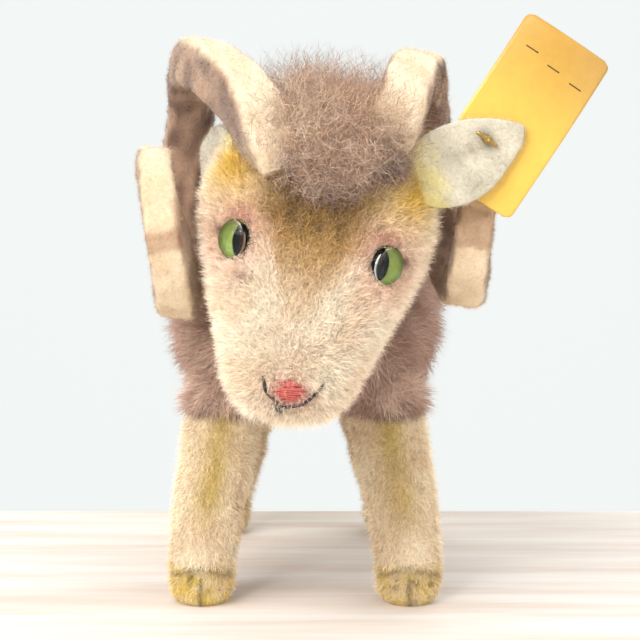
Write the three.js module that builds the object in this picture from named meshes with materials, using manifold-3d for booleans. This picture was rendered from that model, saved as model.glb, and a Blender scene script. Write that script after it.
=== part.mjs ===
// A small standing plush ram with curled felt horns, about 12 cm tall at the horns.
//
// Millimetres, +Z up, the ram faces -Y and its left side is +X.  Every plush skin is a sewn shell with
// its stuffing inside, the head turns on a cardboard disc joint at the neck, and a card tag turns on the
// rivet that holds it to the left ear.

import * as THREE from "three";
import { mergeVertices } from "three/addons/utils/BufferGeometryUtils.js";
import Module from "manifold-3d";

const wasm = await Module();
wasm.setup();

// ---------------------------------------------------------------- driving dimensions

const GAP = 0.3; // clearance between pieces that touch on the real toy
const PLUSH = 1.2; // thickness of a sewn plush skin
const FELT = 1.5; // thickness of the horn and ear felt
const LEFT = 1;
const RIGHT = -1;
const AWAY = 200; // half side of the boxes that cut a piece at a plane
const WELD = 1e-4; // vertices this near to each other are one
const MATT = 0.95; // roughness of plush, felt and stuffing

// How finely each form is cut up, round it and along it.
const LEG_MESH = { skin: { around: 12, rows: 9 }, stuffing: { around: 10, rows: 8 } };
const TORSO_MESH = { skin: { around: 24, rows: 14 }, stuffing: { around: 16, rows: 10 } };
const DISC_SIDES = 20;
const PIN_SIDES = 10;
const HEAD_MESH = { skin: { around: 24, rows: 16 }, stuffing: { around: 16, rows: 12 } };
const HORN_MESH = { felt: { around: 12, rows: 32 }, core: { around: 8, rows: 28 } };

const TORSO = {
  middleY: 7,
  middleZ: 63.5,
  halfLength: 51,
  halfWidth: 27.5,
  halfHeight: 23,
  lengthPower: 3.4, // bluntness of the chest and the rump seen from the side
  sidePower: 3.0, // the same seen from above
  sectionPower: 2.7, // squareness of a cut across the body
  shoulderNarrowing: 0.34, // share of the width taken away at the top of the shoulders
  shoulderFromZ: 52,
  shoulderToZ: 76,
  shoulderFrontY: -30,
  shoulderBackY: 6,
};

const FRONT_LEG = {
  y: -30,
  shape: [
    // height, sideways centre, half width, half depth, forward shift of the centre
    { z: 0, x: 22.2, wide: 5.2, deep: 6.2, forward: 0.4 },
    { z: 1.6, x: 22.2, wide: 6.1, deep: 7.2, forward: 0.6 },
    { z: 8, x: 22.2, wide: 6.5, deep: 7.4, forward: 0.4 },
    { z: 20, x: 20.8, wide: 7.0, deep: 7.2, forward: 0 },
    { z: 34, x: 18.4, wide: 7.6, deep: 8.8, forward: -0.8 },
    { z: 44, x: 16.4, wide: 7.7, deep: 9.0, forward: -1.6 },
    { z: 56, x: 12.0, wide: 6.0, deep: 8.0, forward: -3 },
  ],
};

const REAR_LEG = {
  y: 36,
  shape: [
    { z: 0, x: 21.4, wide: 5.4, deep: 6.4, forward: 0.6 },
    { z: 1.6, x: 21.4, wide: 6.3, deep: 7.4, forward: 0.8 },
    { z: 8, x: 21.2, wide: 6.7, deep: 7.6, forward: 0.4 },
    { z: 20, x: 18.8, wide: 7.8, deep: 7.8, forward: -2.4 },
    { z: 34, x: 16.8, wide: 9.6, deep: 10.6, forward: 0.2 },
    { z: 44, x: 15.4, wide: 9.4, deep: 10.6, forward: 0.8 },
    { z: 56, x: 12.0, wide: 7.0, deep: 9.0, forward: 1 },
  ],
};

const LEG_TOP = { skinZ: 56, stuffingZ: 58 };
const LEG_WIRE = { radius: 1.0, footZ: 7, kneeZ: 24, archZ: 55, bend: 7, steps: 26 };

const NECK = {
  y: -39,
  z: 66,
  tiltDeg: 10, // the neck axis points forward and this much up
  headTurnDeg: 10, // how far the head is turned on it, crown towards the ram's left
  discRadius: 9.5,
  discThickness: 1.6,
  washerRadius: 4,
  washerThickness: 0.6,
  pinRadius: 0.9,
  pinEndLength: 3.2, // room for the pin's eye and prongs
  eyeRadius: 1.3,
  eyeWire: 0.7,
  prongRadius: 0.6,
  prongLength: 4,
  prongAside: 1.8,
};

const HEAD = {
  chinZ: 46,
  crownZ: 103,
  domePower: 3.0, // bluntness of the chin and the crown
  sectionPower: 2.3,
  muzzleHalfWidth: 14.4,
  skullHalfWidth: 22.8,
  widenFromZ: 53,
  widenToZ: 87,
  muzzleFrontY: -78.5,
  foreheadY: -66.5,
  slopeFromZ: 51,
  slopeToZ: 85,
  throatY: -52,
  napeY: -31,
  throatFromZ: 42,
  throatToZ: 62,
};

const CROWN = {
  halfWidth: 12.5, // long plush gusset between the horns
  tipZ: 88, // point of the forelock
  shoulderZ: 95,
  backY: -47, // behind this the whole head is long plush
};

const EYE = {
  x: 15.1,
  z: 78.2,
  radius: 3.8,
  outwardDeg: 33,
  domeHeight: 2.3,
  rimHeight: 0.7,
  irisThickness: 0.7,
  pupilHalfWidth: 0.95,
  pupilHalfHeight: 2.7,
  pupilThickness: 0.3,
  proud: 1.5, // how far the glass stands out of the skin
  setBack: 0.9, // where the skin dips, at the eye
  domeSteps: 4,
  socketDepth: 12,
  shankRadius: 0.5,
  shankLength: 8,
};

const HORN = {
  baseHalfWidth: 5.4,
  tipHalfWidth: 3.2,
  baseThickness: 10.4,
  tipThickness: 7.4,
  sectionPower: 5,
  startDeg: 17,
  endDeg: 462,
  depthShare: 0.82, // the spiral is this much shorter front to back than it is tall
  stopDeg: 45, // how far apart along the curl the sideways places lie
  endRounding: 0.72,
  roundedShare: 0.03,
  corePlay: 0.8, // room between the felt and the core
  curlLength: 90,
  hollowFrom: -0.06, // the felt is open where it is sewn to the head
  coreFrom: 0.012,
};

// The two horns are curled by hand and differ: where each one's spiral has its middle, how large it is,
// how much nearer the middle each turn lies, how far forward the tip drifts, and how far sideways the
// strap lies at each stop, from the root on the forehead to the tip.
const HORN_OF_SIDE = {
  [LEFT]: {
    middleY: -38,
    middleZ: 90,
    topRadius: 30.6,
    growthPerTurn: 22.6,
    forward: 4,
    sideways: [11.4, 12.6, 15.0, 18.4, 24.0, 29.4, 32.4, 31.7, 31.3, 31.0, 30.8, 30.8],
  },
  [RIGHT]: {
    middleY: -41,
    middleZ: 81,
    topRadius: 34.4,
    growthPerTurn: 23.8,
    forward: 6,
    sideways: [3.8, 14.6, 29.2, 30.6, 30.2, 28.0, 25.4, 26.9, 31.0, 33.8, 34.8, 35.0],
  },
};

// A broad leaf with a blunt tip, as places along it and across it.
const EAR = {
  thickness: 1.8,
  root: 5.5, // half of its width where it is sewn on
  lower: [[4, -9], [11.5, -9.6], [17.2, -5.1]],
  blunt: [[20.2, -2.9], [22, -1.4]],
  tip: [[23.4, 0.2], [23.8, 2.4]],
  upper: [[19.5, 5.8], [11, 10.6]],
};

// The left ear lies flat to the front; the right one is pressed back between the head and the horn.
const EAR_OF_SIDE = {
  [LEFT]: { x: 17.4, y: -57.3, z: 95.7, riseDeg: 30, sweepDeg: 0 },
  [RIGHT]: { x: 19.2, y: -55.8, z: 91.2, riseDeg: 0, sweepDeg: 72 },
};

const TAG = {
  width: 19.6,
  length: 36.6,
  thickness: 0.6,
  pinX: 30.2,
  pinZ: 105.8,
  pinFromEnd: 11,
  pinAside: -3,
  corner: 1.5,
  bow: 5, // how far the free end bends back
  cup: 2.4, // how far the middle of the free end bulges forward of its corners
  leanDeg: 23.6,
  columns: 8,
  rows: 14,
};

const RIVET = {
  radius: 0.9,
  headRadius: 2.6,
  headThickness: 0.8,
  prongLength: 2.6,
  prongThickness: 0.5,
  prongWidth: 1.4,
  prongDeg: 25,
};
const TAIL = { y: 59.4, z: 65, halfWidth: 5, halfThickness: 3.6, halfLength: 12.5, leanDeg: 6 };
const NOSE = { x: 0.8, z: 52.4, halfWidth: 2.7, halfHeight: 1.8, thickness: 0.9 };
const THREAD = { radius: 0.4, lift: 0.8 };
const MOUTH = [
  [-4.8, 54.4],
  [-3.4, 51.4],
  [-0.4, 49.2],
  [3.2, 49.8],
  [5.8, 52.6],
  [7.0, 54.8],
];
const BELLY_SEAM = { fromY: -12, toY: 24, stitches: 10, halfWidth: 1.4 };

// ---------------------------------------------------------------- colours

const COLOURS = {
  brownPlush: 0x7d6252,
  crownPlush: 0x8a6a5a,
  facePlush: 0xdecbb2,
  legPlush: 0xd6be96,
  hornFelt: 0xe0cca8,
  earFelt: 0xded6c6,
  woodWool: 0xc8b084,
  steel: 0x9a9c9e,
  cardboard: 0xa58a63,
  glass: 0xdfe8e4,
  iris: 0x7d874b,
  pupil: 0x0c0c0a,
  noseThread: 0xd66e64,
  mouthThread: 0x1c1714,
  seamThread: 0x4a372c,
  card: 0xe3b84a,
  brass: 0xb08d4a,
};

function finish(colour, roughness, metalness = 0) {
  return new THREE.MeshStandardMaterial({ color: colour, roughness, metalness });
}

// ---------------------------------------------------------------- small maths

const radians = THREE.MathUtils.degToRad;
const mix = THREE.MathUtils.lerp;
const smooth = THREE.MathUtils.smoothstep;

// Half size of a blunt dome at the share `along` (-1 to 1) of its length.
function dome(along, power) {
  return Math.pow(Math.max(0, 1 - Math.pow(Math.min(1, Math.abs(along)), power)), 1 / power);
}

// A cosine or sine squared off into a rounded rectangle's.
function squared(value, power) {
  return Math.sign(value) * Math.pow(Math.abs(value), 2 / power);
}

// ---------------------------------------------------------------- solids

function weld(geometry) {
  const bare = geometry.clone();
  bare.deleteAttribute("normal");
  bare.deleteAttribute("uv");
  return mergeVertices(bare, WELD);
}

function toSolid(geometry) {
  const welded = weld(geometry);
  return new wasm.Manifold(
    new wasm.Mesh({
      numProp: 3,
      vertProperties: new Float32Array(welded.attributes.position.array),
      triVerts: new Uint32Array(welded.index.array),
    }),
  );
}

function toGeometry(solid) {
  const mesh = solid.getMesh();
  const geometry = new THREE.BufferGeometry();
  geometry.setAttribute("position", new THREE.BufferAttribute(new Float32Array(mesh.vertProperties), 3));
  geometry.setIndex(new THREE.BufferAttribute(new Uint32Array(mesh.triVerts), 1));
  return geometry;
}

function mirrored(geometry) {
  const copy = geometry.clone().scale(-1, 1, 1);
  const order = copy.index.array;
  for (let corner = 0; corner < order.length; corner += 3) {
    [order[corner + 1], order[corner + 2]] = [order[corner + 2], order[corner + 1]];
  }
  return copy;
}

// Reshapes every vertex of a geometry with a function of its first position.
function reshaped(base, place) {
  const geometry = weld(base);
  const points = geometry.attributes.position;
  const from = new THREE.Vector3();
  for (let index = 0; index < points.count; index += 1) {
    const to = place(from.fromBufferAttribute(points, index));
    points.setXYZ(index, to.x, to.y, to.z);
  }
  return geometry;
}

// A round wire or thread along a curve.
function wireAlong(curve, radius, steps, sides = 4) {
  const ring = new THREE.Shape();
  ring.absarc(0, 0, radius, 0, 2 * Math.PI);
  return new THREE.ExtrudeGeometry(ring, {
    steps,
    curveSegments: sides,
    bevelEnabled: false,
    extrudePath: curve,
  });
}

// A round pin along Y, standing on its front face at y = 0 and reaching back.
function pinAlongY(radius, length) {
  return new THREE.CylinderGeometry(radius, radius, length, DISC_SIDES).translate(0, length / 2, 0);
}

function boxBetween(low, high) {
  const size = high.clone().sub(low);
  const middle = high.clone().add(low).multiplyScalar(0.5);
  return new THREE.BoxGeometry(size.x, size.y, size.z).translate(middle.x, middle.y, middle.z);
}

// ---------------------------------------------------------------- torso

// The torso's surface, `inset` millimetres inside the outside of its plush backing.
function torsoGeometry(inset, { around, rows }) {
  const halfLength = TORSO.halfLength - inset;
  const halfWidth = TORSO.halfWidth - inset;
  const halfHeight = TORSO.halfHeight - inset;
  return reshaped(new THREE.SphereGeometry(1, around, rows), (point) => {
    const along = squared(point.y, TORSO.lengthPower);
    const ring = Math.hypot(point.x, point.z) || 1;
    const up = squared(point.z / ring, TORSO.sectionPower);
    const across = squared(point.x / ring, TORSO.sectionPower);
    const y = TORSO.middleY + halfLength * along;
    const z = TORSO.middleZ + halfHeight * up * dome(along, TORSO.lengthPower);
    const high = smooth(z, TORSO.shoulderFromZ, TORSO.shoulderToZ);
    const fore = 1 - smooth(y, TORSO.shoulderFrontY, TORSO.shoulderBackY);
    const narrowed = 1 - TORSO.shoulderNarrowing * high * fore;
    return new THREE.Vector3(halfWidth * across * dome(along, TORSO.sidePower) * narrowed, y, z);
  });
}

// ---------------------------------------------------------------- legs

function legStation(leg, height) {
  const stations = leg.shape;
  let upper = 1;
  while (upper < stations.length - 1 && stations[upper].z < height) {
    upper += 1;
  }
  const below = stations[upper - 1];
  const above = stations[upper];
  const share = (height - below.z) / (above.z - below.z);
  const eased = upper === 1 ? share : smooth(share, 0, 1) * 0.5 + share * 0.5;
  return {
    x: mix(below.x, above.x, eased),
    wide: mix(below.wide, above.wide, eased),
    deep: mix(below.deep, above.deep, eased),
    forward: mix(below.forward, above.forward, eased),
  };
}

// One leg as a column from its sole at `fromZ` up into the torso, on the ram's left side.
function legGeometry(leg, inset, fromZ, toZ, { around, rows }) {
  return reshaped(new THREE.CylinderGeometry(1, 1, 1, around, rows), (point) => {
    const share = point.y + 0.5;
    const rise = Math.pow(share, 1.4);
    const z = mix(fromZ, toZ, rise);
    const station = legStation(leg, z);
    return new THREE.Vector3(
      station.x + (station.wide - inset) * point.x,
      leg.y - station.forward - (station.deep - inset) * point.z,
      z,
    );
  });
}

// The wire runs up one leg, across inside the torso and down the other.
function legWireCurve(leg) {
  const low = legStation(leg, LEG_WIRE.footZ);
  const middle = legStation(leg, LEG_WIRE.kneeZ);
  const high = legStation(leg, LEG_WIRE.archZ);
  const rise = [
    new THREE.Vector3(low.x, leg.y - low.forward, LEG_WIRE.footZ),
    new THREE.Vector3(middle.x, leg.y - middle.forward, LEG_WIRE.kneeZ),
    new THREE.Vector3(high.x, leg.y - high.forward, LEG_WIRE.archZ - LEG_WIRE.bend),
    new THREE.Vector3(high.x - LEG_WIRE.bend, leg.y - high.forward, LEG_WIRE.archZ),
  ];
  const fall = rise.map((point) => new THREE.Vector3(-point.x, point.y, point.z)).reverse();
  return new THREE.CatmullRomCurve3([...rise, ...fall], false, "chordal");
}

// ---------------------------------------------------------------- head

function headLimits(z) {
  const chest = smooth(z, HEAD.slopeFromZ, HEAD.slopeToZ);
  const neck = smooth(z, HEAD.throatFromZ, HEAD.throatToZ);
  const side = smooth(z, HEAD.widenFromZ, HEAD.widenToZ);
  return {
    halfWidth: mix(HEAD.muzzleHalfWidth, HEAD.skullHalfWidth, side),
    front: mix(HEAD.muzzleFrontY, HEAD.foreheadY, chest),
    back: mix(HEAD.throatY, HEAD.napeY, neck),
  };
}

function headRing(z, inset) {
  const halfHeight = (HEAD.crownZ - HEAD.chinZ) / 2 - inset;
  const share = dome((z - (HEAD.crownZ + HEAD.chinZ) / 2) / halfHeight, HEAD.domePower);
  const limits = headLimits(z);
  return {
    middleY: (limits.front + limits.back) / 2,
    halfWidth: (limits.halfWidth - inset) * share,
    halfDepth: ((limits.back - limits.front) / 2 - inset) * share,
  };
}

function headGeometry(inset, { around, rows }) {
  const halfHeight = (HEAD.crownZ - HEAD.chinZ) / 2 - inset;
  const middleZ = (HEAD.crownZ + HEAD.chinZ) / 2;
  const upright = new THREE.SphereGeometry(1, around, rows).rotateX(Math.PI / 2);
  return reshaped(upright, (point) => {
    const z = middleZ + halfHeight * squared(point.z, HEAD.domePower);
    const ring = Math.hypot(point.x, point.y) || 1;
    const size = headRing(z, inset);
    return new THREE.Vector3(
      size.halfWidth * squared(point.x / ring, HEAD.sectionPower),
      size.middleY + size.halfDepth * squared(point.y / ring, HEAD.sectionPower),
      z,
    );
  });
}

// Where the front of the face lies, `x` to the side of its middle at the height `z`.
function faceY(x, z) {
  const size = headRing(z, 0);
  return size.middleY - size.halfDepth * dome(x / size.halfWidth, HEAD.sectionPower);
}

// The region of the head that is long plush: the forelock's V between the horns and everything behind.
function crownRegion(shrink) {
  const outline = new THREE.Shape();
  const half = CROWN.halfWidth - shrink;
  outline.moveTo(0, CROWN.tipZ + shrink);
  outline.lineTo(half, CROWN.shoulderZ + shrink);
  outline.lineTo(half, AWAY);
  outline.lineTo(-half, AWAY);
  outline.lineTo(-half, CROWN.shoulderZ + shrink);
  const wedge = new THREE.ExtrudeGeometry(outline, { depth: 2 * AWAY, bevelEnabled: false });
  wedge.rotateX(Math.PI / 2).translate(0, AWAY, 0);
  const rear = boxBetween(
    new THREE.Vector3(-AWAY, CROWN.backY + shrink, -AWAY),
    new THREE.Vector3(AWAY, AWAY, AWAY),
  );
  return toSolid(wedge).add(toSolid(rear));
}

// ---------------------------------------------------------------- neck plane

const neckPoint = new THREE.Vector3(0, NECK.y, NECK.z);
const neckTilt = radians(NECK.tiltDeg);

// Places a piece modelled along -Y from the origin onto the neck's axis, `shift` forward of the neck plane.
function ontoNeck(geometry, shift = 0) {
  const forward = new THREE.Vector3(0, -Math.cos(neckTilt), Math.sin(neckTilt));
  const place = neckPoint.clone().addScaledVector(forward, shift);
  return geometry.rotateX(-neckTilt).translate(place.x, place.y, place.z);
}

// Everything in front of the neck plane (side 1) or behind it (side -1), `clear` away from it.
function halfSpace(side, clear) {
  const box = new THREE.BoxGeometry(2 * AWAY, 2 * AWAY, 2 * AWAY).translate(0, -side * AWAY, 0);
  return toSolid(ontoNeck(box, side * clear));
}

// ---------------------------------------------------------------- horns


// The middle line of one horn and the two directions across it, at the share `along` of its length.
function hornFrame(side, along) {
  const horn = HORN_OF_SIDE[side];
  const degrees = mix(HORN.startDeg, HORN.endDeg, along);
  const angle = radians(degrees);
  const thickness = mix(HORN.baseThickness, HORN.tipThickness, along);
  const halfWidth = mix(HORN.baseHalfWidth, HORN.tipHalfWidth, along);
  const beyondTop = Math.max(0, degrees - 90) / 360;
  const radius = horn.topRadius - horn.growthPerTurn * beyondTop - thickness / 2;
  const outward = new THREE.Vector3(0, -Math.cos(angle) * HORN.depthShare, Math.sin(angle));
  const centre = new THREE.Vector3(0, horn.middleY - horn.forward * along, horn.middleZ);
  const stops = new THREE.SplineCurve(horn.sideways.map((x, stop) => new THREE.Vector2(stop, x)));
  const reach = degrees / (HORN.stopDeg * (horn.sideways.length - 1));
  centre.x = side * stops.getPoint(THREE.MathUtils.clamp(reach, 0, 1)).y;
  centre.addScaledVector(outward, radius);
  return { centre, outward: outward.normalize(), thickness, halfWidth };
}

// A horn from the share `from` to the share `to` of its length, `inset` inside its felt.
function hornGeometry(side, inset, from, to, { around, rows }) {
  const step = 0.002;
  return reshaped(new THREE.CylinderGeometry(1, 1, 1, around, rows), (point) => {
    const along = mix(from, to, point.y + 0.5);
    const here = hornFrame(side, along);
    const before = hornFrame(side, along - step).centre;
    const ahead = hornFrame(side, along + step).centre.sub(before).normalize();
    const across = new THREE.Vector3().crossVectors(ahead, here.outward).normalize();
    const outward = new THREE.Vector3().crossVectors(across, ahead).normalize();
    const fromEnd = Math.min(along, 1 - along);
    const rounding = mix(HORN.endRounding, 1, smooth(fromEnd, 0, HORN.roundedShare));
    const ring = Math.hypot(point.x, point.z) || 1;
    const reach = Math.min(1, ring) * rounding;
    const filled = ring > 0.5 ? 1 : 0;
    const wide = squared(point.x / ring, HORN.sectionPower) * (here.halfWidth - inset) * filled * reach;
    const deep = squared(point.z / ring, HORN.sectionPower) * (here.thickness / 2 - inset) * filled * reach;
    return here.centre.addScaledVector(across, wide).addScaledVector(outward, deep);
  });
}

function hornPieces(side, headSolid) {
  const capShare = FELT / HORN.curlLength;
  const outer = toSolid(hornGeometry(side, 0, 0, 1, HORN_MESH.felt)).subtract(headSolid);
  const hollow = toSolid(hornGeometry(side, FELT, HORN.hollowFrom, 1 - capShare, HORN_MESH.core));
  const within = FELT + HORN.corePlay;
  const core = toSolid(hornGeometry(side, within, HORN.coreFrom, 1 - 2 * capShare, HORN_MESH.core));
  return { felt: outer.subtract(hollow), core: core.subtract(headSolid) };
}

// ---------------------------------------------------------------- ears, tag and rivet

function earGeometry() {
  const [lower1, lower2, lower3] = EAR.lower;
  const [blunt1, blunt2] = EAR.blunt;
  const [tip1, tip2] = EAR.tip;
  const [upper1, upper2] = EAR.upper;
  const leaf = new THREE.Shape();
  leaf.moveTo(0, -EAR.root);
  leaf.bezierCurveTo(...lower1, ...lower2, ...lower3);
  leaf.quadraticCurveTo(...blunt1, ...blunt2);
  leaf.quadraticCurveTo(...tip1, ...tip2);
  leaf.bezierCurveTo(...upper1, ...upper2, 0, EAR.root);
  const felt = new THREE.ExtrudeGeometry(leaf, {
    depth: EAR.thickness,
    bevelEnabled: false,
    curveSegments: 6,
  });
  return felt.translate(0, 0, -EAR.thickness / 2).rotateX(Math.PI / 2);
}

// Places a leaf that lies along +X and faces -Y at one ear's root.
function ontoEar(geometry, side) {
  const ear = EAR_OF_SIDE[side];
  geometry.rotateY(-radians(ear.riseDeg)).rotateZ(radians(ear.sweepDeg));
  geometry.translate(ear.x, ear.y, ear.z);
  return side === LEFT ? geometry : mirrored(mergeVertices(geometry));
}

const tagFrontY = EAR_OF_SIDE[LEFT].y + EAR.thickness / 2 + GAP;
const tagBackY = tagFrontY + TAG.thickness;

// Puts a pin, a hole or a rivet head on the tag's pin, with its front at the depth `y`.
function ontoPin(geometry, y) {
  return geometry.translate(TAG.pinX, y, TAG.pinZ);
}

function tagGeometry() {
  const low = -TAG.pinFromEnd;
  const high = TAG.length - TAG.pinFromEnd;
  const sheet = new THREE.BoxGeometry(2, 1, 1, TAG.columns, 1, TAG.rows);
  const bowed = reshaped(sheet, (point) => {
    const up = mix(low, high, point.z + 0.5);
    const withinCorner = Math.max(0, TAG.corner - Math.min(up - low, high - up));
    const cut = TAG.corner - Math.sqrt(TAG.corner ** 2 - withinCorner ** 2);
    const free = Math.max(0, up) / high;
    const back = (TAG.bow - TAG.cup * (1 - point.x ** 2)) * free * free;
    const y = (point.y + 0.5) * TAG.thickness + back;
    return new THREE.Vector3(point.x * (TAG.width / 2 - cut) - TAG.pinAside, y, up);
  });
  return ontoPin(bowed.rotateY(radians(TAG.leanDeg)), tagFrontY);
}

function rivetSolid() {
  const earFrontY = tagFrontY - 2 * GAP - EAR.thickness;
  const shaft = pinAlongY(RIVET.radius, tagBackY + GAP + RIVET.headThickness / 2 - earFrontY);
  const head = pinAlongY(RIVET.headRadius, RIVET.headThickness);
  const prongs = new THREE.BoxGeometry(2 * RIVET.prongLength, RIVET.prongThickness, RIVET.prongWidth);
  const spread = prongs.rotateY(radians(RIVET.prongDeg));
  return toSolid(ontoPin(shaft, earFrontY))
    .add(toSolid(ontoPin(head, tagBackY + GAP)))
    .add(toSolid(ontoPin(spread, earFrontY - RIVET.prongThickness / 4)));
}

function pinHole() {
  const length = 10 * EAR.thickness;
  return toSolid(ontoPin(pinAlongY(RIVET.radius + GAP, length), tagFrontY - length / 2));
}

// ---------------------------------------------------------------- eyes

// Places a piece modelled along -Y at one eye, its origin `forward` of the skin.
function ontoEye(geometry, side, forward) {
  geometry.translate(0, -forward, 0).rotateZ(radians(EYE.outwardDeg));
  geometry.translate(EYE.x, faceY(EYE.x, EYE.z), EYE.z);
  return side === LEFT ? geometry : mirrored(mergeVertices(geometry));
}

const glassBack = EYE.proud + EYE.setBack - EYE.rimHeight - EYE.domeHeight;
const pupilBack = glassBack - GAP - EYE.pupilThickness;
const irisBack = pupilBack - GAP - EYE.irisThickness;

function eyeGlassGeometry() {
  const profile = [new THREE.Vector2(0, 0), new THREE.Vector2(EYE.radius, 0)];
  for (let step = 0; step <= EYE.domeSteps; step += 1) {
    const angle = (step / EYE.domeSteps) * (Math.PI / 2);
    const out = step === EYE.domeSteps ? 0 : EYE.radius * Math.cos(angle);
    profile.push(new THREE.Vector2(out, EYE.rimHeight + EYE.domeHeight * Math.sin(angle)));
  }
  return new THREE.LatheGeometry(profile, DISC_SIDES).rotateX(Math.PI);
}

function eyeDisc(radius, thickness, sides = DISC_SIDES) {
  return new THREE.CylinderGeometry(radius, radius, thickness, sides).translate(0, -thickness / 2, 0);
}

function pupilGeometry() {
  const thin = eyeDisc(1, EYE.pupilThickness);
  return thin.scale(EYE.pupilHalfWidth, 1, EYE.pupilHalfHeight);
}

function eyeSocket(side) {
  const socket = ontoEye(eyeDisc(EYE.radius + GAP, EYE.socketDepth), side, irisBack - GAP);
  const back = irisBack - 3 * GAP - EYE.shankLength;
  const bore = ontoEye(eyeDisc(EYE.shankRadius + GAP, EYE.shankLength + 4 * GAP, PIN_SIDES), side, back);
  return toSolid(socket).add(toSolid(bore));
}

// ---------------------------------------------------------------- stitches

function noseSolid(headLift, headTop) {
  const outline = new THREE.Shape();
  outline.absellipse(NOSE.x, NOSE.z, NOSE.halfWidth, NOSE.halfHeight, 0, 2 * Math.PI);
  const column = new THREE.ExtrudeGeometry(outline, {
    depth: AWAY,
    bevelEnabled: false,
    curveSegments: 10,
  });
  column.rotateX(Math.PI / 2).translate(0, HEAD.foreheadY, 0);
  return toSolid(mergeVertices(column)).intersect(headTop).subtract(headLift);
}

function mouthCurve() {
  const route = MOUTH.map(([x, z]) => new THREE.Vector3(x, faceY(x, z) - THREAD.lift, z));
  return new THREE.CatmullRomCurve3(route);
}

function bellySeamCurve() {
  const route = [];
  const z = TORSO.middleZ - TORSO.halfHeight - THREAD.lift;
  for (let stitch = 0; stitch <= BELLY_SEAM.stitches; stitch += 1) {
    const side = stitch % 2 === 0 ? LEFT : RIGHT;
    const y = mix(BELLY_SEAM.fromY, BELLY_SEAM.toY, stitch / BELLY_SEAM.stitches);
    route.push(new THREE.Vector3(side * BELLY_SEAM.halfWidth, y, z));
  }
  return new THREE.CatmullRomCurve3(route);
}

// ---------------------------------------------------------------- neck joint

// The stack on one side of the neck plane: skin, disc, washer and the end of the pin, with its cavity.
const discFrom = GAP / 2 + PLUSH + GAP;
const washerFrom = discFrom + NECK.discThickness + GAP;
const pinEndFrom = washerFrom + NECK.washerThickness + GAP;

function alongNeck(geometry, side, from, length) {
  return toSolid(ontoNeck(geometry, side * (from + length / 2)));
}

function neckDisc(side, radius, from, thickness, sides) {
  const round = new THREE.CylinderGeometry(radius, radius, thickness, sides);
  const boreRadius = NECK.pinRadius + GAP;
  const bore = new THREE.CylinderGeometry(boreRadius, boreRadius, thickness * 3, PIN_SIDES);
  const disc = alongNeck(round, side, from, thickness);
  return disc.subtract(alongNeck(bore, side, from, thickness));
}

function neckBore() {
  const radius = NECK.pinRadius + GAP;
  return toSolid(ontoNeck(new THREE.CylinderGeometry(radius, radius, 4 * discFrom, PIN_SIDES)));
}

function neckCavity(side) {
  const radius = NECK.discRadius + GAP;
  const length = pinEndFrom + NECK.pinEndLength - discFrom + 2 * GAP;
  const room = new THREE.CylinderGeometry(radius, radius, length, DISC_SIDES);
  return alongNeck(room, side, discFrom - GAP, length);
}

function neckPin() {
  const { pinRadius, eyeRadius, eyeWire, prongRadius, prongLength, prongAside } = NECK;
  const shaft = new THREE.CylinderGeometry(pinRadius, pinRadius, 2 * pinEndFrom + pinRadius, PIN_SIDES);
  const eye = new THREE.TorusGeometry(eyeRadius, eyeWire, PIN_SIDES, PIN_SIDES);
  eye.translate(0, -eyeRadius + GAP / 2, 0);
  let pin = toSolid(ontoNeck(shaft)).add(toSolid(ontoNeck(mergeVertices(eye), pinEndFrom)));
  for (const side of [LEFT, RIGHT]) {
    const prong = new THREE.CylinderGeometry(prongRadius, prongRadius, prongLength, PIN_SIDES);
    prong.rotateZ((-side * Math.PI) / 3).translate(side * prongAside, 0, 0);
    pin = pin.add(alongNeck(prong, RIGHT, pinEndFrom, 2 * prongRadius + pinRadius));
  }
  return pin;
}

// ---------------------------------------------------------------- pieces

const torsoSkin = (inset) => toSolid(torsoGeometry(inset, TORSO_MESH.skin));
const torsoWithin = (inset) => toSolid(torsoGeometry(inset, TORSO_MESH.stuffing));
const torsoOuter = torsoSkin(0).intersect(halfSpace(RIGHT, GAP / 2));
const torsoInner = torsoWithin(PLUSH).intersect(halfSpace(RIGHT, GAP / 2 + PLUSH));
const torsoClear = torsoSkin(-GAP);
const torsoFilling = torsoWithin(PLUSH + GAP);

const headSkin = (inset) => toSolid(headGeometry(inset, HEAD_MESH.skin));
const headWithin = (inset) => toSolid(headGeometry(inset, HEAD_MESH.stuffing));
const headOuter = headSkin(0).intersect(halfSpace(LEFT, GAP / 2));
const headInner = headWithin(PLUSH).intersect(halfSpace(LEFT, GAP / 2 + PLUSH));
const headClear = headSkin(-GAP);
const headNose = headSkin(-GAP - NOSE.thickness);
const headFilling = headWithin(PLUSH + GAP);

const LEGS = { front: FRONT_LEG, rear: REAR_LEG };

function wireSolid(leg, radius) {
  return toSolid(wireAlong(legWireCurve(leg), radius, LEG_WIRE.steps));
}

const bodyPieces = [];
const headPieces = [];
const tagPieces = [];

function keep(list, name, solid, material) {
  const geometry = solid.isBufferGeometry ? solid : toGeometry(solid);
  const mesh = new THREE.Mesh(geometry, material);
  mesh.name = name;
  list.push(mesh);
}

const sideNames = { [LEFT]: "left", [RIGHT]: "right" };
const woodWool = finish(COLOURS.woodWool, MATT);
const steel = finish(COLOURS.steel, 0.35, 1);

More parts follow.
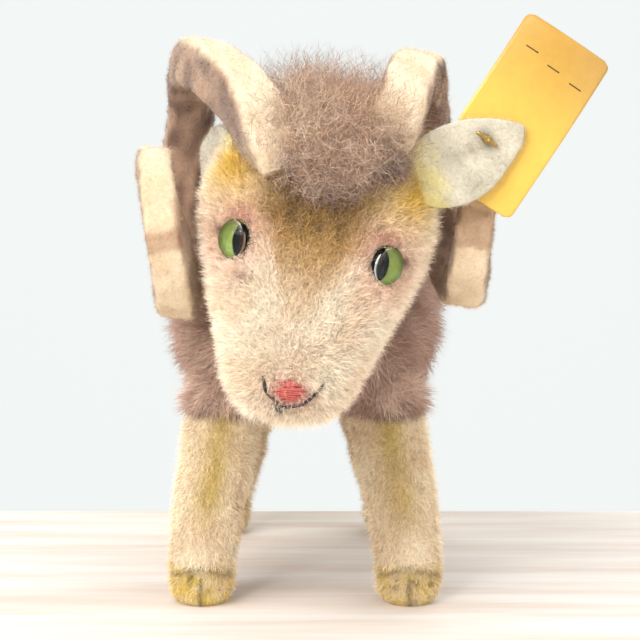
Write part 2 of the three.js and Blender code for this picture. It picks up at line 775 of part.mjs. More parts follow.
function addLegs() {
  for (const [end, leg] of Object.entries(LEGS)) {
    const bore = wireSolid(leg, LEG_WIRE.radius + GAP);
    for (const side of [LEFT, RIGHT]) {
      const turn = (geometry) => toSolid(side === LEFT ? geometry : mirrored(geometry));
      const outer = turn(legGeometry(leg, 0, 0, LEG_TOP.skinZ, LEG_MESH.skin));
      const hollow = turn(legGeometry(leg, PLUSH, PLUSH, LEG_TOP.stuffingZ, LEG_MESH.stuffing));
      const within = PLUSH + 2 * GAP;
      const filling = turn(legGeometry(leg, within, PLUSH + GAP, LEG_TOP.stuffingZ, LEG_MESH.stuffing));
      const name = `${end}_${sideNames[side]}_leg`;
      const skin = outer.subtract(torsoClear).subtract(hollow);
      keep(bodyPieces, `${name}_skin`, skin, finish(COLOURS.legPlush, MATT));
      keep(bodyPieces, `${name}_stuffing`, filling.subtract(torsoClear).subtract(bore), woodWool);
    }
    keep(bodyPieces, `${end}_leg_wire`, wireSolid(leg, LEG_WIRE.radius), steel);
  }
}

function addTorso() {
  const bores = Object.values(LEGS).map((leg) => wireSolid(leg, LEG_WIRE.radius + GAP));
  let skin = torsoOuter.subtract(torsoInner).subtract(neckBore());
  let filling = torsoFilling.intersect(halfSpace(RIGHT, discFrom)).subtract(neckCavity(RIGHT));
  for (const bore of bores) {
    skin = skin.subtract(bore);
    filling = filling.subtract(bore);
  }
  const plush = finish(COLOURS.brownPlush, MATT);
  keep(bodyPieces, "body_skin", skin, plush);
  keep(bodyPieces, "body_stuffing", filling, woodWool);
  const tail = new THREE.SphereGeometry(1, 12, 8);
  tail.scale(TAIL.halfWidth, TAIL.halfThickness, TAIL.halfLength);
  tail.rotateX(radians(TAIL.leanDeg)).translate(0, TAIL.y, TAIL.z);
  keep(bodyPieces, "tail", toSolid(tail).subtract(torsoClear), plush);
  const seam = wireAlong(bellySeamCurve(), THREAD.radius, 30, 3);
  keep(bodyPieces, "belly_seam_thread", toSolid(seam), finish(COLOURS.seamThread, 0.8));
}

function addNeck() {
  const lists = { [LEFT]: headPieces, [RIGHT]: bodyPieces };
  const owners = { [LEFT]: "head", [RIGHT]: "body" };
  for (const side of [LEFT, RIGHT]) {
    const disc = neckDisc(side, NECK.discRadius, discFrom, NECK.discThickness, DISC_SIDES);
    const washer = neckDisc(side, NECK.washerRadius, washerFrom, NECK.washerThickness, DISC_SIDES);
    keep(lists[side], `${owners[side]}_neck_disc`, disc, finish(COLOURS.cardboard, MATT));
    keep(lists[side], `${owners[side]}_neck_washer`, washer, steel);
  }
  keep(bodyPieces, "neck_cotter_pin", neckPin(), steel);
}

function addHeadSkins() {
  const sockets = eyeSocket(LEFT).add(eyeSocket(RIGHT));
  const shell = headOuter.subtract(headInner).subtract(neckBore()).subtract(sockets);
  const stuffed = headFilling.intersect(halfSpace(LEFT, discFrom));
  const filling = stuffed.subtract(neckCavity(LEFT)).subtract(sockets);
  const face = shell.subtract(crownRegion(-GAP / 2));
  keep(headPieces, "face_skin", face, finish(COLOURS.facePlush, MATT));
  keep(headPieces, "crown_skin", shell.intersect(crownRegion(GAP / 2)), finish(COLOURS.crownPlush, MATT));
  keep(headPieces, "head_stuffing", filling, woodWool);
  keep(headPieces, "nose_stitching", noseSolid(headClear, headNose), finish(COLOURS.noseThread, 0.7));
  const mouth = wireAlong(mouthCurve(), THREAD.radius, 14, 3);
  keep(headPieces, "mouth_stitching", toSolid(mouth), finish(COLOURS.mouthThread, 0.7));
}

function addEyes() {
  for (const side of [LEFT, RIGHT]) {
    const name = `${sideNames[side]}_eye`;
    const glass = toSolid(ontoEye(eyeGlassGeometry(), side, glassBack));
    const pupil = toSolid(ontoEye(pupilGeometry(), side, pupilBack));
    const iris = toSolid(ontoEye(eyeDisc(EYE.radius, EYE.irisThickness), side, irisBack));
    const shankBack = irisBack - GAP - EYE.shankLength;
    const shank = toSolid(ontoEye(eyeDisc(EYE.shankRadius, EYE.shankLength, PIN_SIDES), side, shankBack));
    keep(headPieces, `${name}_glass`, glass, finish(COLOURS.glass, 0.05));
    keep(headPieces, `${name}_pupil`, pupil, finish(COLOURS.pupil, 0.2));
    keep(headPieces, `${name}_iris`, iris, finish(COLOURS.iris, 0.3));
    keep(headPieces, `${name}_shank`, shank, steel);
  }
}

function addHorns() {
  for (const side of [LEFT, RIGHT]) {
    const { felt, core } = hornPieces(side, headClear);
    keep(headPieces, `${sideNames[side]}_horn_felt`, felt, finish(COLOURS.hornFelt, MATT));
    keep(headPieces, `${sideNames[side]}_horn_core`, core, woodWool);
  }
}

function addEarsAndTag() {
  const hole = pinHole();
  for (const side of [LEFT, RIGHT]) {
    const horn = toSolid(hornGeometry(side, -GAP, 0, 1, HORN_MESH.felt));
    const ear = toSolid(ontoEar(earGeometry(), side)).subtract(headClear).subtract(horn);
    const pierced = side === LEFT ? ear.subtract(hole) : ear;
    keep(headPieces, `${sideNames[side]}_ear`, pierced, finish(COLOURS.earFelt, MATT));
  }
  keep(headPieces, "tag_rivet", rivetSolid(), finish(COLOURS.brass, 0.4, 1));
  keep(tagPieces, "tag", toSolid(tagGeometry()).subtract(hole), finish(COLOURS.card, 0.7));
}

// ---------------------------------------------------------------- assembly

addTorso();
addLegs();
addNeck();
addHeadSkins();
addEyes();
addHorns();
addEarsAndTag();

// The head's pieces stay where they were modelled inside a group that turns about the neck's axis.
const headPieceGroup = new THREE.Group();
headPieceGroup.add(...headPieces, ...tagPieces);
headPieceGroup.position.copy(neckPoint).negate();

const headGroup = new THREE.Group();
headGroup.add(headPieceGroup);
headGroup.position.copy(neckPoint);
const neckAxis = new THREE.Vector3(0, -Math.cos(neckTilt), Math.sin(neckTilt));
headGroup.quaternion.setFromAxisAngle(neckAxis, -radians(NECK.headTurnDeg));

const standing = new THREE.Group();
standing.add(...bodyPieces, headGroup);
standing.updateMatrixWorld(true);

const bounds = new THREE.Box3().setFromObject(standing, true);
const middle = bounds.getCenter(new THREE.Vector3());
standing.position.set(-middle.x, -middle.y, -bounds.min.z);

const ram = new THREE.Group();
ram.add(standing);
ram.updateMatrixWorld(true);

export default ram;
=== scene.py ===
"""A small standing plush ram with curled felt horns, made up the way a toy maker would make it.

The stuffed forms come first, then the pile that grows on them, the felt, the glass eyes, the stitches
and the card tag. Sizes are in millimetres in the toy's own axes until a mesh is written: x runs from the
toy's middle to its left, y from its middle to its tail, and z up from the table.
"""

import sys
import logging
import math
from dataclasses import dataclass, field
from enum import Enum

import bpy
import numpy as np
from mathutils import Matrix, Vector
from mathutils.kdtree import KDTree


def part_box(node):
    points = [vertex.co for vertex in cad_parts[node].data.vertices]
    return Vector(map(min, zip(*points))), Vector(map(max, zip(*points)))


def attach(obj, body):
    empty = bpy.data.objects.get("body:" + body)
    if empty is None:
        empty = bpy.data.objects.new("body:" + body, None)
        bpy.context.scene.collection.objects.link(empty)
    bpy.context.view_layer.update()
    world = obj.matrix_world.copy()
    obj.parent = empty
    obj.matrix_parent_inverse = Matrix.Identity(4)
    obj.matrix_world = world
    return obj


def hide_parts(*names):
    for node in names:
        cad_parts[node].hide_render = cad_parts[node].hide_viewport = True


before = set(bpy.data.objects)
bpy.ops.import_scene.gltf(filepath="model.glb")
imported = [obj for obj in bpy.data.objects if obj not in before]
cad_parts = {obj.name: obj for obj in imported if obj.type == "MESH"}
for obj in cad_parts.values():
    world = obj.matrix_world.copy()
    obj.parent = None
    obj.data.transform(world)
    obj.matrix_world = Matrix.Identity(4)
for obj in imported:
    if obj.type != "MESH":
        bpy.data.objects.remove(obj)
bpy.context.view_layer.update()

LOG = logging.getLogger("ram")

MM = 0.001
PIECE_TRIANGLES = 190_000  # the most triangles that one piece of pile may have


class Side(Enum):
    """The toy's own left (+X) and right (-X)."""

    LEFT = 1
    RIGHT = -1

    @property
    def word(self) -> str:
        """The side's name as the pieces spell it."""
        return self.name.lower()


# ---------------------------------------------------------------- small maths


def smooth(value: np.ndarray, low: float, high: float) -> np.ndarray:
    """A smooth step from 0 at low to 1 at high.

    Args:
        value: Where to read the step.
        low: Where it leaves 0.
        high: Where it reaches 1.

    Returns:
        The step's height at each value.
    """
    share = np.clip((np.asarray(value, float) - low) / (high - low), 0.0, 1.0)
    return share * share * (3.0 - 2.0 * share)


def mix(low: np.ndarray, high: np.ndarray, share: np.ndarray) -> np.ndarray:
    """The value a share of the way from low to high."""
    return low + (high - low) * share


def dome(along: np.ndarray, power: float) -> np.ndarray:
    """The half size of a blunt dome at a share (-1 to 1) of its length."""
    return np.maximum(0.0, 1.0 - np.minimum(1.0, np.abs(along)) ** power) ** (1.0 / power)


def squared(value: np.ndarray, power: float) -> np.ndarray:
    """A cosine or sine squared off into that of a rounded rectangle."""
    return np.sign(value) * np.abs(value) ** (2.0 / power)


def unit(vectors: np.ndarray) -> np.ndarray:
    """The vectors at length one."""
    return vectors / np.maximum(1e-9, np.linalg.norm(vectors, axis=-1, keepdims=True))


def near(value: np.ndarray, middle: float, spread: float) -> np.ndarray:
    """1 at the middle, fading to almost 0 two spreads away on either side."""
    return np.exp(-(((value - middle) / spread) ** 2))


def linear(red: float, green: float, blue: float) -> np.ndarray:
    """A paint colour, given as 0 to 255 on screen, as linear light."""
    screen = np.array([red, green, blue]) / 255.0
    return np.where(screen <= 0.04045, screen / 12.92, ((screen + 0.055) / 1.055) ** 2.4)


def ripple(points: np.ndarray, scale: float, seed: int, waves: int = 7) -> np.ndarray:
    """Smooth pseudo-random values between about -1 and 1 that change over `scale` millimetres.

    Args:
        points: Places in millimetres.
        scale: The size of one lump.
        seed: Picks the pattern.
        waves: How many waves are added up.

    Returns:
        One value for each place.
    """
    rng = np.random.default_rng(seed)
    total = np.zeros(len(points))
    for _ in range(waves):
        heading = unit(rng.normal(size=3)) * (2.0 * math.pi / scale) * rng.uniform(0.5, 1.2)
        total += np.sin(points @ heading + rng.uniform(0.0, 2.0 * math.pi))
    return total / math.sqrt(waves)


def ripples(points: np.ndarray, scale: float, seed: int) -> np.ndarray:
    """Three ripple patterns side by side, as a vector at each place."""
    return np.stack([ripple(points, scale, seed + axis) for axis in range(3)], axis=-1)


def leaned(across: np.ndarray, up: np.ndarray, degrees: float) -> tuple[np.ndarray, np.ndarray]:
    """Places across and up, leaned over towards +across."""
    lean = math.radians(degrees)
    return across * math.cos(lean) + up * math.sin(lean), up * math.cos(lean) - across * math.sin(lean)


# ---------------------------------------------------------------- where the toy stands


@dataclass(frozen=True)
class ToyFrame:
    """The toy's own axes in the shared frame."""

    middle: float
    rear: float
    torso_rear: float = 58.0

    @staticmethod
    def from_cad() -> "ToyFrame":
        """Reads the toy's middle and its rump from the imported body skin."""
        low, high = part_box("body_skin")
        return ToyFrame(middle=(low.x + high.x) / 2.0, rear=high.y)

    def world(self, points: np.ndarray) -> np.ndarray:
        """Places in the toy's axes, in millimetres, as metres in the shared frame."""
        shift = np.array([self.middle, self.rear - self.torso_rear * MM, 0.0])
        return np.asarray(points, float) * MM + shift


@dataclass(frozen=True)
class HeadTurn:
    """How the head is turned on the neck's axis."""

    pivot: tuple[float, float, float] = (0.0, -39.0, 66.0)
    tilt: float = 10.0
    degrees: float = -10.0

    def matrix(self) -> np.ndarray:
        """The turn as a 3 by 3 matrix."""
        tilt = math.radians(self.tilt)
        axis = np.array([0.0, -math.cos(tilt), math.sin(tilt)])
        angle = math.radians(self.degrees)
        cross = np.array([[0, -axis[2], axis[1]], [axis[2], 0, -axis[0]], [-axis[1], axis[0], 0]])
        return np.eye(3) + math.sin(angle) * cross + (1 - math.cos(angle)) * cross @ cross

    def turned(self, points: np.ndarray) -> np.ndarray:
        """Places modelled on the straight head, where the turned head has them."""
        return (np.asarray(points, float) - self.pivot) @ self.matrix().T + self.pivot


TOY = ToyFrame.from_cad()
TURN = HeadTurn()


# ---------------------------------------------------------------- meshes


def mesh_piece(
    name: str,
    points: np.ndarray,
    faces: list[np.ndarray],
    tint: np.ndarray | None = None,
    along: np.ndarray | None = None,
    cells: np.ndarray | None = None,
) -> bpy.types.Object:
    """Writes one mesh object.

    Args:
        name: The piece's name.
        points: Places in the toy's axes, in millimetres.
        faces: Arrays of corner numbers, one array for each corner count.
        tint: A linear colour at each point.
        along: How far along its strand each point lies, 0 at the root.
        cells: Where each face corner lies on the bake's sheet.

    Returns:
        The new object.
    """
    mesh = bpy.data.meshes.new(name)
    world = TOY.world(points)
    corners = np.concatenate([part.ravel() for part in faces]).astype(np.int32)
    totals = np.concatenate([np.full(len(part), part.shape[1]) for part in faces]).astype(np.int32)
    starts = np.concatenate([[0], np.cumsum(totals)[:-1]]).astype(np.int32)
    mesh.vertices.add(len(world))
    mesh.vertices.foreach_set("co", world.astype(np.float32).ravel())
    mesh.loops.add(len(corners))
    mesh.loops.foreach_set("vertex_index", corners)
    mesh.polygons.add(len(totals))
    mesh.polygons.foreach_set("loop_start", starts)
    mesh.polygons.foreach_set("loop_total", totals)
    mesh.update(calc_edges=True)
    mesh.polygons.foreach_set("use_smooth", np.ones(len(totals), bool))
    if tint is not None:
        colour = mesh.attributes.new("tint", "FLOAT_COLOR", "POINT")
        rgba = np.concatenate([np.clip(tint, 0.0, 1.0), np.ones((len(tint), 1))], axis=1)
        colour.data.foreach_set("color", rgba.astype(np.float32).ravel())
    if along is not None:
        share = mesh.attributes.new("along", "FLOAT", "POINT")
        share.data.foreach_set("value", along.astype(np.float32))
    if cells is not None:
        sheet = mesh.uv_layers.new(name="OFBake")
        sheet.data.foreach_set("uv", cells.astype(np.float32).ravel())
    piece = bpy.data.objects.new(name, mesh)
    bpy.context.scene.collection.objects.link(piece)
    return piece


def grid_faces(rows: int, around: int) -> np.ndarray:
    """The quads of a tube of rings, each ring `around` points long."""
    row, turn = np.meshgrid(np.arange(rows - 1), np.arange(around), indexing="ij")
    ahead = (turn + 1) % around
    low, high = row * around, (row + 1) * around
    return np.stack([low + turn, low + ahead, high + ahead, high + turn], axis=-1).reshape(-1, 4)


def capped(rings: np.ndarray) -> tuple[np.ndarray, list[np.ndarray]]:
    """A tube of rings closed by a fan at each end.

    Args:
        rings: Places, as rings by points by three.

    Returns:
        The points and the faces of the closed form.
    """
    rows, around, _ = rings.shape
    points = np.concatenate([rings.reshape(-1, 3), rings[0].mean(0)[None], rings[-1].mean(0)[None]])
    turn = np.arange(around)
    ahead = (turn + 1) % around
    first, last = rows * around, rows * around + 1
    end = (rows - 1) * around
    low = np.stack([np.full(around, first), ahead, turn], axis=-1)
    high = np.stack([np.full(around, last), end + turn, end + ahead], axis=-1)
    faces = [grid_faces(rows, around), np.concatenate([low, high])]
    corner = [points[faces[0][:, k]] - points.mean(0) for k in range(3)]
    volume = (np.cross(corner[0], corner[1]) * corner[2]).sum()
    return points, faces if volume > 0.0 else [part[:, ::-1] for part in faces]


@dataclass
class Skin:
    """A surface that pile can grow on: its triangles, and the way out at each corner."""

    points: np.ndarray
    triangles: np.ndarray
    outward: np.ndarray

    @staticmethod
    def from_faces(points: np.ndarray, faces: list[np.ndarray]) -> "Skin":
        """Makes a skin from a mesh's points and faces.

        Args:
            points: The mesh's points.
            faces: Its quads and triangles.

        Returns:
            The skin, with smooth outward directions.
        """
        parts = []
        for part in faces:
            parts.append(part[:, [0, 1, 2]])
            if part.shape[1] == 4:
                parts.append(part[:, [0, 2, 3]])
        triangles = np.concatenate(parts)
        edge_a = points[triangles[:, 1]] - points[triangles[:, 0]]
        edge_b = points[triangles[:, 2]] - points[triangles[:, 0]]
        normal = np.cross(edge_a, edge_b)
        outward = np.zeros_like(points)
        for corner in range(3):
            np.add.at(outward, triangles[:, corner], normal)
        return Skin(points, triangles, unit(outward))

    def sown(
        self, count: int, weight: np.ndarray, rng: np.random.Generator
    ) -> tuple[np.ndarray, np.ndarray]:
        """Scatters roots over the skin.

        Args:
            count: How many roots.
            weight: How thickly they stand at each point of the skin.
            rng: Where the chance comes from.

        Returns:
            The roots and the way out at each.
        """
        corner = [self.points[self.triangles[:, k]] for k in range(3)]
        area = np.linalg.norm(np.cross(corner[1] - corner[0], corner[2] - corner[0]), axis=1)
        chance = area * weight[self.triangles].mean(axis=1)
        pick = rng.choice(len(chance), size=count, p=chance / chance.sum())
        a, b = rng.random(count), rng.random(count)
        flip = a + b > 1.0
        a, b = np.where(flip, 1.0 - a, a)[:, None], np.where(flip, 1.0 - b, b)[:, None]
        chosen = self.triangles[pick]
        shares = (1.0 - a - b, a, b)
        root = sum(share * self.points[chosen[:, k]] for k, share in enumerate(shares))
        outward = sum(share * self.outward[chosen[:, k]] for k, share in enumerate(shares))
        return root, unit(outward)


@dataclass(frozen=True)
class Pile:
    """How one plush's pile grows, in millimetres."""

    length: float
    width: float
    spread: float = 0.35  # how far strands stray from their neighbours
    lean: float = 0.5  # how far they lie over along the nap
    curl: float = 0.3  # size of a strand's own curl
    turns: float = 1.2  # turns of that curl
    tuft: float = 0.4  # how far whole tufts lean together
    tuft_size: float = 5.0
    uneven: float = 0.35  # share by which lengths differ
    bends: int = 4
    droop: float = 0.0

    @property
    def triangles(self) -> int:
        """How many triangles one strand has."""
        return 2 * (self.bends - 1) + 1

    def grown(
        self,
        root: np.ndarray,
        outward: np.ndarray,
        nap: np.ndarray,
        length: np.ndarray,
        rng: np.random.Generator,
    ) -> tuple[np.ndarray, list[np.ndarray], np.ndarray, np.ndarray]:
        """Grows flat tapering strands.

        Args:
            root: Where each strand starts.
            outward: The way out of the skin there.
            nap: The way the pile is brushed there.
            length: A factor on each strand's length.
            rng: Where the chance comes from.

        Returns:
            The points, the faces, the place of each face corner on the bake's sheet, and how far along
            its strand each point lies.
        """
        count = len(root)
        stray = rng.normal(size=(count, 3)) * self.spread
        tufted = ripples(root, self.tuft_size, 11) * self.tuft
        heading = unit(outward + nap * self.lean + tufted + stray)
        heading = unit(heading + outward * np.maximum(0.0, 0.25 - (heading * outward).sum(1))[:, None])
        reach = self.length * length * (1.0 + self.uneven * rng.normal(size=count).clip(-1.6, 1.6))
        side = unit(np.cross(heading, rng.normal(size=(count, 3))))
        other = np.cross(heading, side)
        phase = rng.uniform(0.0, 2.0 * math.pi, count)
        turns = self.turns * rng.uniform(0.6, 1.4, count) * 2.0 * math.pi
        size = self.curl * rng.uniform(0.4, 1.3, count)
        steps = np.linspace(0.0, 1.0, self.bends + 1)
        line = np.empty((count, self.bends + 1, 3))
        for index, step in enumerate(steps):
            swing = turns * step + phase
            away = min(1.0, 1.6 * step) * size
            curl = side * (np.cos(swing) * away)[:, None] + other * (np.sin(swing) * away)[:, None]
            line[:, index] = root + heading * (reach * step)[:, None] + curl
            line[:, index, 2] -= self.droop * step * step
        half = 0.5 * self.width * (1.0 - 0.55 * steps[:-1])
        across = unit(np.cross(heading, rng.normal(size=(count, 3))))
        left = line[:, :-1] + across[:, None] * half[None, :, None]
        right = line[:, :-1] - across[:, None] * half[None, :, None]
        rails = np.stack([left, right], axis=2).reshape(count, -1, 3)
        points = np.concatenate([rails, line[:, -1:]], axis=1)
        stride = points.shape[1]
        base = np.arange(count)[:, None] * stride
        quads = []
        for index in range(self.bends - 1):
            low = 2 * index
            quads.append(base + np.array([low, low + 1, low + 3, low + 2]))
        top = 2 * (self.bends - 1)
        tips = base + np.array([top, top + 1, top + 2])
        quad = np.stack(quads, axis=1).reshape(-1, 4)
        share = np.concatenate([np.repeat(steps[:-1], 2), [1.0]])
        along = np.tile(share, count)
        cells = self._sheet(count, stride, quad, tips, share)
        return points.reshape(-1, 3), [quad, tips], cells, along

    @staticmethod
    def _sheet(
        count: int, stride: int, quad: np.ndarray, tips: np.ndarray, share: np.ndarray
    ) -> np.ndarray:
        """Gives every strand a small upright cell of its own on the bake's sheet.

        Args:
            count: How many strands.
            stride: Points in one strand.
            quad: The quads.
            tips: The tip triangles.
            share: How far along the strand each of its points lies.

        Returns:
            A place on the sheet for each face corner.
        """
        columns = math.ceil(math.sqrt(count))
        corners = np.concatenate([quad.ravel(), tips.ravel()])
        strand, point = corners // stride, corners % stride
        left = np.where(point % 2 == 0, 0.2, 0.8)
        left = np.where(point == stride - 1, 0.5, left)
        across = (strand % columns + left) / columns
        up = (strand // columns + 0.15 + 0.7 * share[point]) / columns
        return np.stack([across, up], axis=-1)


# ---------------------------------------------------------------- finishes


def shader(name: str, roughness: float, **inputs: float) -> tuple[bpy.types.Material, bpy.types.Node]:
    """A new material with its one Principled shader.

    Args:
        name: The material's name.
        roughness: Set on the shader.
        inputs: Other sockets, spelt with underscores for spaces.

    Returns:
        The material and the shader.
    """
    material = bpy.data.materials.new(name)
    material.use_nodes = True
    principled = material.node_tree.nodes["Principled BSDF"]
    principled.inputs["Roughness"].default_value = roughness
    for socket, value in inputs.items():
        principled.inputs[socket.replace("_", " ")].default_value = value
    return material, principled


def add_node(material: bpy.types.Material, kind: str, **settings: object) -> bpy.types.Node:
    """Adds a node and sets its named settings, or its sockets where a setting isn't a property.

    Args:
        material: The material to add to.
        kind: The node's type name.
        settings: Properties, or socket names with underscores for spaces.

    Returns:
        The node.
    """
    node = material.node_tree.nodes.new(kind)
    for key, value in settings.items():
        if hasattr(node, key):
            setattr(node, key, value)
        else:
            node.inputs[key.replace("_", " ")].default_value = value
    return node


def join(material: bpy.types.Material, source: bpy.types.NodeSocket, target: bpy.types.NodeSocket) -> None:
    """Joins two sockets."""
    material.node_tree.links.new(source, target)


def paint(material: bpy.types.Material, colour: tuple[float, float, float]) -> bpy.types.NodeSocket:
    """A plain colour to start from, given as 0 to 255 on screen."""
    base = add_node(material, "ShaderNodeRGB")
    base.outputs[0].default_value = (*linear(*colour), 1.0)
    return base.outputs[0]


def mottled(
    material: bpy.types.Material, colour: bpy.types.NodeSocket, scale: float, low: float, high: float
) -> bpy.types.NodeSocket:
    """Multiplies a colour by noise between two brightnesses.

    Args:
        material: The material.
        colour: The colour to vary.
        scale: The noise's scale, in lumps for each metre.
        low: The darkest factor.
        high: The brightest factor.

    Returns:
        The varied colour.
    """
    place = add_node(material, "ShaderNodeTexCoord")
    noise = add_node(material, "ShaderNodeTexNoise", Scale=scale, Detail=3.0, Roughness=0.65)
    spread = add_node(material, "ShaderNodeMapRange", From_Min=0.3, From_Max=0.7, To_Min=low, To_Max=high)
    times = add_node(material, "ShaderNodeVectorMath", operation="SCALE")
    join(material, place.outputs["Object"], noise.inputs["Vector"])
    join(material, noise.outputs["Fac"], spread.inputs["Value"])
    join(material, colour, times.inputs[0])
    join(material, spread.outputs["Result"], times.inputs["Scale"])
    return times.outputs["Vector"]


def bumped(
    material: bpy.types.Material, principled: bpy.types.Node, scale: float, strength: float, distance: float
) -> None:
    """Gives a shader a fine woolly bump.

    Args:
        material: The material.
        principled: Its shader.
        scale: The noise's scale, in lumps for each metre.
        strength: The bump's strength.
        distance: The bump's height in metres.
    """
    place = add_node(material, "ShaderNodeTexCoord")
    noise = add_node(material, "ShaderNodeTexNoise", Scale=scale, Detail=4.0, Roughness=0.7)
    bump = add_node(material, "ShaderNodeBump", Strength=strength, Distance=distance)
    join(material, place.outputs["Object"], noise.inputs["Vector"])
    join(material, noise.outputs["Fac"], bump.inputs["Height"])
    join(material, bump.outputs["Normal"], principled.inputs["Normal"])


@dataclass(frozen=True)
class PileFinish:
    """Woolly strands in their airbrushed tint, shaded from root to tip."""

    name: str
    root: float = 0.62  # brightness at the root, where neighbours shade the strand
    tip: float = 1.08
    tip_colour: tuple[float, float, float] | None = None
    tip_from: float = 0.45
    sheen: float = 0.35

    def material(self) -> bpy.types.Material:
        """Builds the finish."""
        made, principled = shader(self.name, 0.9, Sheen_Weight=self.sheen, Sheen_Roughness=0.5)
        principled.inputs["Specular IOR Level"].default_value = 0.15
        tint = add_node(made, "ShaderNodeAttribute", attribute_name="tint")
        along = add_node(made, "ShaderNodeAttribute", attribute_name="along")
        shade = add_node(made, "ShaderNodeMapRange", From_Max=0.7, To_Min=self.root, To_Max=self.tip)
        times = add_node(made, "ShaderNodeVectorMath", operation="SCALE")
        join(made, along.outputs["Fac"], shade.inputs["Value"])
        colour = tint.outputs["Color"]
        if self.tip_colour is not None:
            tipped = add_node(made, "ShaderNodeMix", data_type="RGBA")
            reach = add_node(made, "ShaderNodeMapRange", From_Min=self.tip_from, From_Max=0.95, To_Max=0.9)
            join(made, along.outputs["Fac"], reach.inputs["Value"])
            join(made, reach.outputs["Result"], tipped.inputs[0])
            join(made, colour, tipped.inputs[6])
            tipped.inputs[7].default_value = (*linear(*self.tip_colour), 1.0)
            colour = tipped.outputs[2]
        join(made, colour, times.inputs[0])
        join(made, shade.outputs["Result"], times.inputs["Scale"])
        varied = mottled(made, times.outputs["Vector"], 900.0, 0.86, 1.14)
        join(made, varied, principled.inputs["Base Color"])
        return made


@dataclass(frozen=True)
class BackingFinish:
    """The cloth that the pile is woven into, seen between the strands, painted darker for the shade that the
    strands cast on it.
    """

    name: str
    # depth scales the cloth's tint down: painted shade from the pile standing over it, deeper under longer
    # pile
    depth: float = 0.7

    def material(self) -> bpy.types.Material:
        """Builds the finish."""
        made, principled = shader(self.name, 0.95, Sheen_Weight=0.2)
        principled.inputs["Specular IOR Level"].default_value = 0.1
        tint = add_node(made, "ShaderNodeAttribute", attribute_name="tint")
        # painted shade: the tint is darkened by the depth factor for the shade beneath the strands
        varied = mottled(made, tint.outputs["Color"], 1400.0, self.depth * 0.8, self.depth * 1.15)
        join(made, varied, principled.inputs["Base Color"])
        bumped(made, principled, 2600.0, 0.8, 0.0004)
        return made


@dataclass(frozen=True)
class FeltFinish:
    """Pressed wool felt with its airbrushed tint."""

    name: str
    lint: float = 1800.0

    def material(self) -> bpy.types.Material:
        """Builds the finish."""
        made, principled = shader(self.name, 0.95, Sheen_Weight=0.3, Sheen_Roughness=0.6)
        principled.inputs["Specular IOR Level"].default_value = 0.12
        tint = add_node(made, "ShaderNodeAttribute", attribute_name="tint")
        cloudy = mottled(made, tint.outputs["Color"], 260.0, 0.93, 1.06)
        varied = mottled(made, cloudy, self.lint, 0.88, 1.08)
        join(made, varied, principled.inputs["Base Color"])
        bumped(made, principled, self.lint * 1.6, 0.7, 0.0003)
        return made


@dataclass(frozen=True)
class ThreadFinish:
    """Twisted cotton thread."""

    name: str
    colour: tuple[float, float, float]

    def material(self) -> bpy.types.Material:
        """Builds the finish."""
        made, principled = shader(self.name, 0.75, Sheen_Weight=0.2)
        varied = mottled(made, paint(made, self.colour), 3200.0, 0.65, 1.25)
        join(made, varied, principled.inputs["Base Color"])
        bumped(made, principled, 4000.0, 0.6, 0.0002)
        return made


@dataclass(frozen=True)
class GlassFinish:
    """The clear front of a glass eye."""

    name: str = "clear_eye_glass"

    def material(self) -> bpy.types.Material:
        """Builds the finish."""
        made, principled = shader(self.name, 0.02, IOR=1.2, Transmission_Weight=1.0)
        principled.inputs["Base Color"].default_value = (0.97, 1.0, 0.98, 1.0)
        return made


@dataclass(frozen=True)
class EnamelFinish:
    """The painted back of a glass eye: a green ring, darker at its rim."""

    name: str
    rim: tuple[float, float, float]
    middle: tuple[float, float, float]

    def material(self) -> bpy.types.Material:
        """Builds the finish."""
        made, principled = shader(self.name, 0.7, Specular_IOR_Level=0.1)
        along = add_node(made, "ShaderNodeAttribute", attribute_name="along")
        ramp = add_node(made, "ShaderNodeMix", data_type="RGBA")
        ramp.inputs[6].default_value = (*linear(*self.middle), 1.0)
        ramp.inputs[7].default_value = (*linear(*self.rim), 1.0)
        reach = add_node(made, "ShaderNodeMapRange", From_Min=0.62, From_Max=0.98)
        join(made, along.outputs["Fac"], reach.inputs["Value"])
        join(made, reach.outputs["Result"], ramp.inputs[0])
        varied = mottled(made, ramp.outputs[2], 1500.0, 0.9, 1.1)
        join(made, varied, principled.inputs["Base Color"])
        return made


@dataclass(frozen=True)
class CardFinish:
    """Coated yellow card, a little darker and redder at its free end, with a fine printed weave."""

    name: str = "yellow_card"

    def material(self) -> bpy.types.Material:
        """Builds the finish."""
        made, principled = shader(self.name, 0.42, Coat_Weight=0.15)
        tint = add_node(made, "ShaderNodeAttribute", attribute_name="tint")
        varied = mottled(made, tint.outputs["Color"], 420.0, 0.95, 1.04)
        join(made, varied, principled.inputs["Base Color"])
        bumped(made, principled, 3000.0, 0.15, 0.0001)
        return made


@dataclass(frozen=True)
class MetalFinish:
    """Dull plain metal."""

    name: str
    colour: tuple[float, float, float]

    def material(self) -> bpy.types.Material:
        """Builds the finish."""
        made, principled = shader(self.name, 0.4, Metallic=1.0)
        varied = mottled(made, paint(made, self.colour), 1200.0, 0.75, 1.1)
        join(made, varied, principled.inputs["Base Color"])
        return made


@dataclass(frozen=True)
class PlainFinish:
    """A matt mottled colour for what lies out of sight, such as card discs and stuffing."""

    name: str
    colour: tuple[float, float, float]
    lumps: float = 500.0

    def material(self) -> bpy.types.Material:
        """Builds the finish."""
        made, principled = shader(self.name, 0.9)
        varied = mottled(made, paint(made, self.colour), self.lumps, 0.75, 1.2)
        join(made, varied, principled.inputs["Base Color"])
        bumped(made, principled, self.lumps * 3.0, 0.5, 0.0003)
        return made


def dress(piece: bpy.types.Object, material: bpy.types.Material, body: str) -> bpy.types.Object:
    """Gives a piece its material and its body, and logs it.

    Args:
        piece: The piece.
        material: Its material.
        body: The CAD body it rides on.

    Returns:
        The piece.
    """
    piece.data.materials.clear()
    piece.data.materials.append(material)
    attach(piece, body)
    LOG.info("%s: %d faces on %s", piece.name, len(piece.data.polygons), body)
    return piece


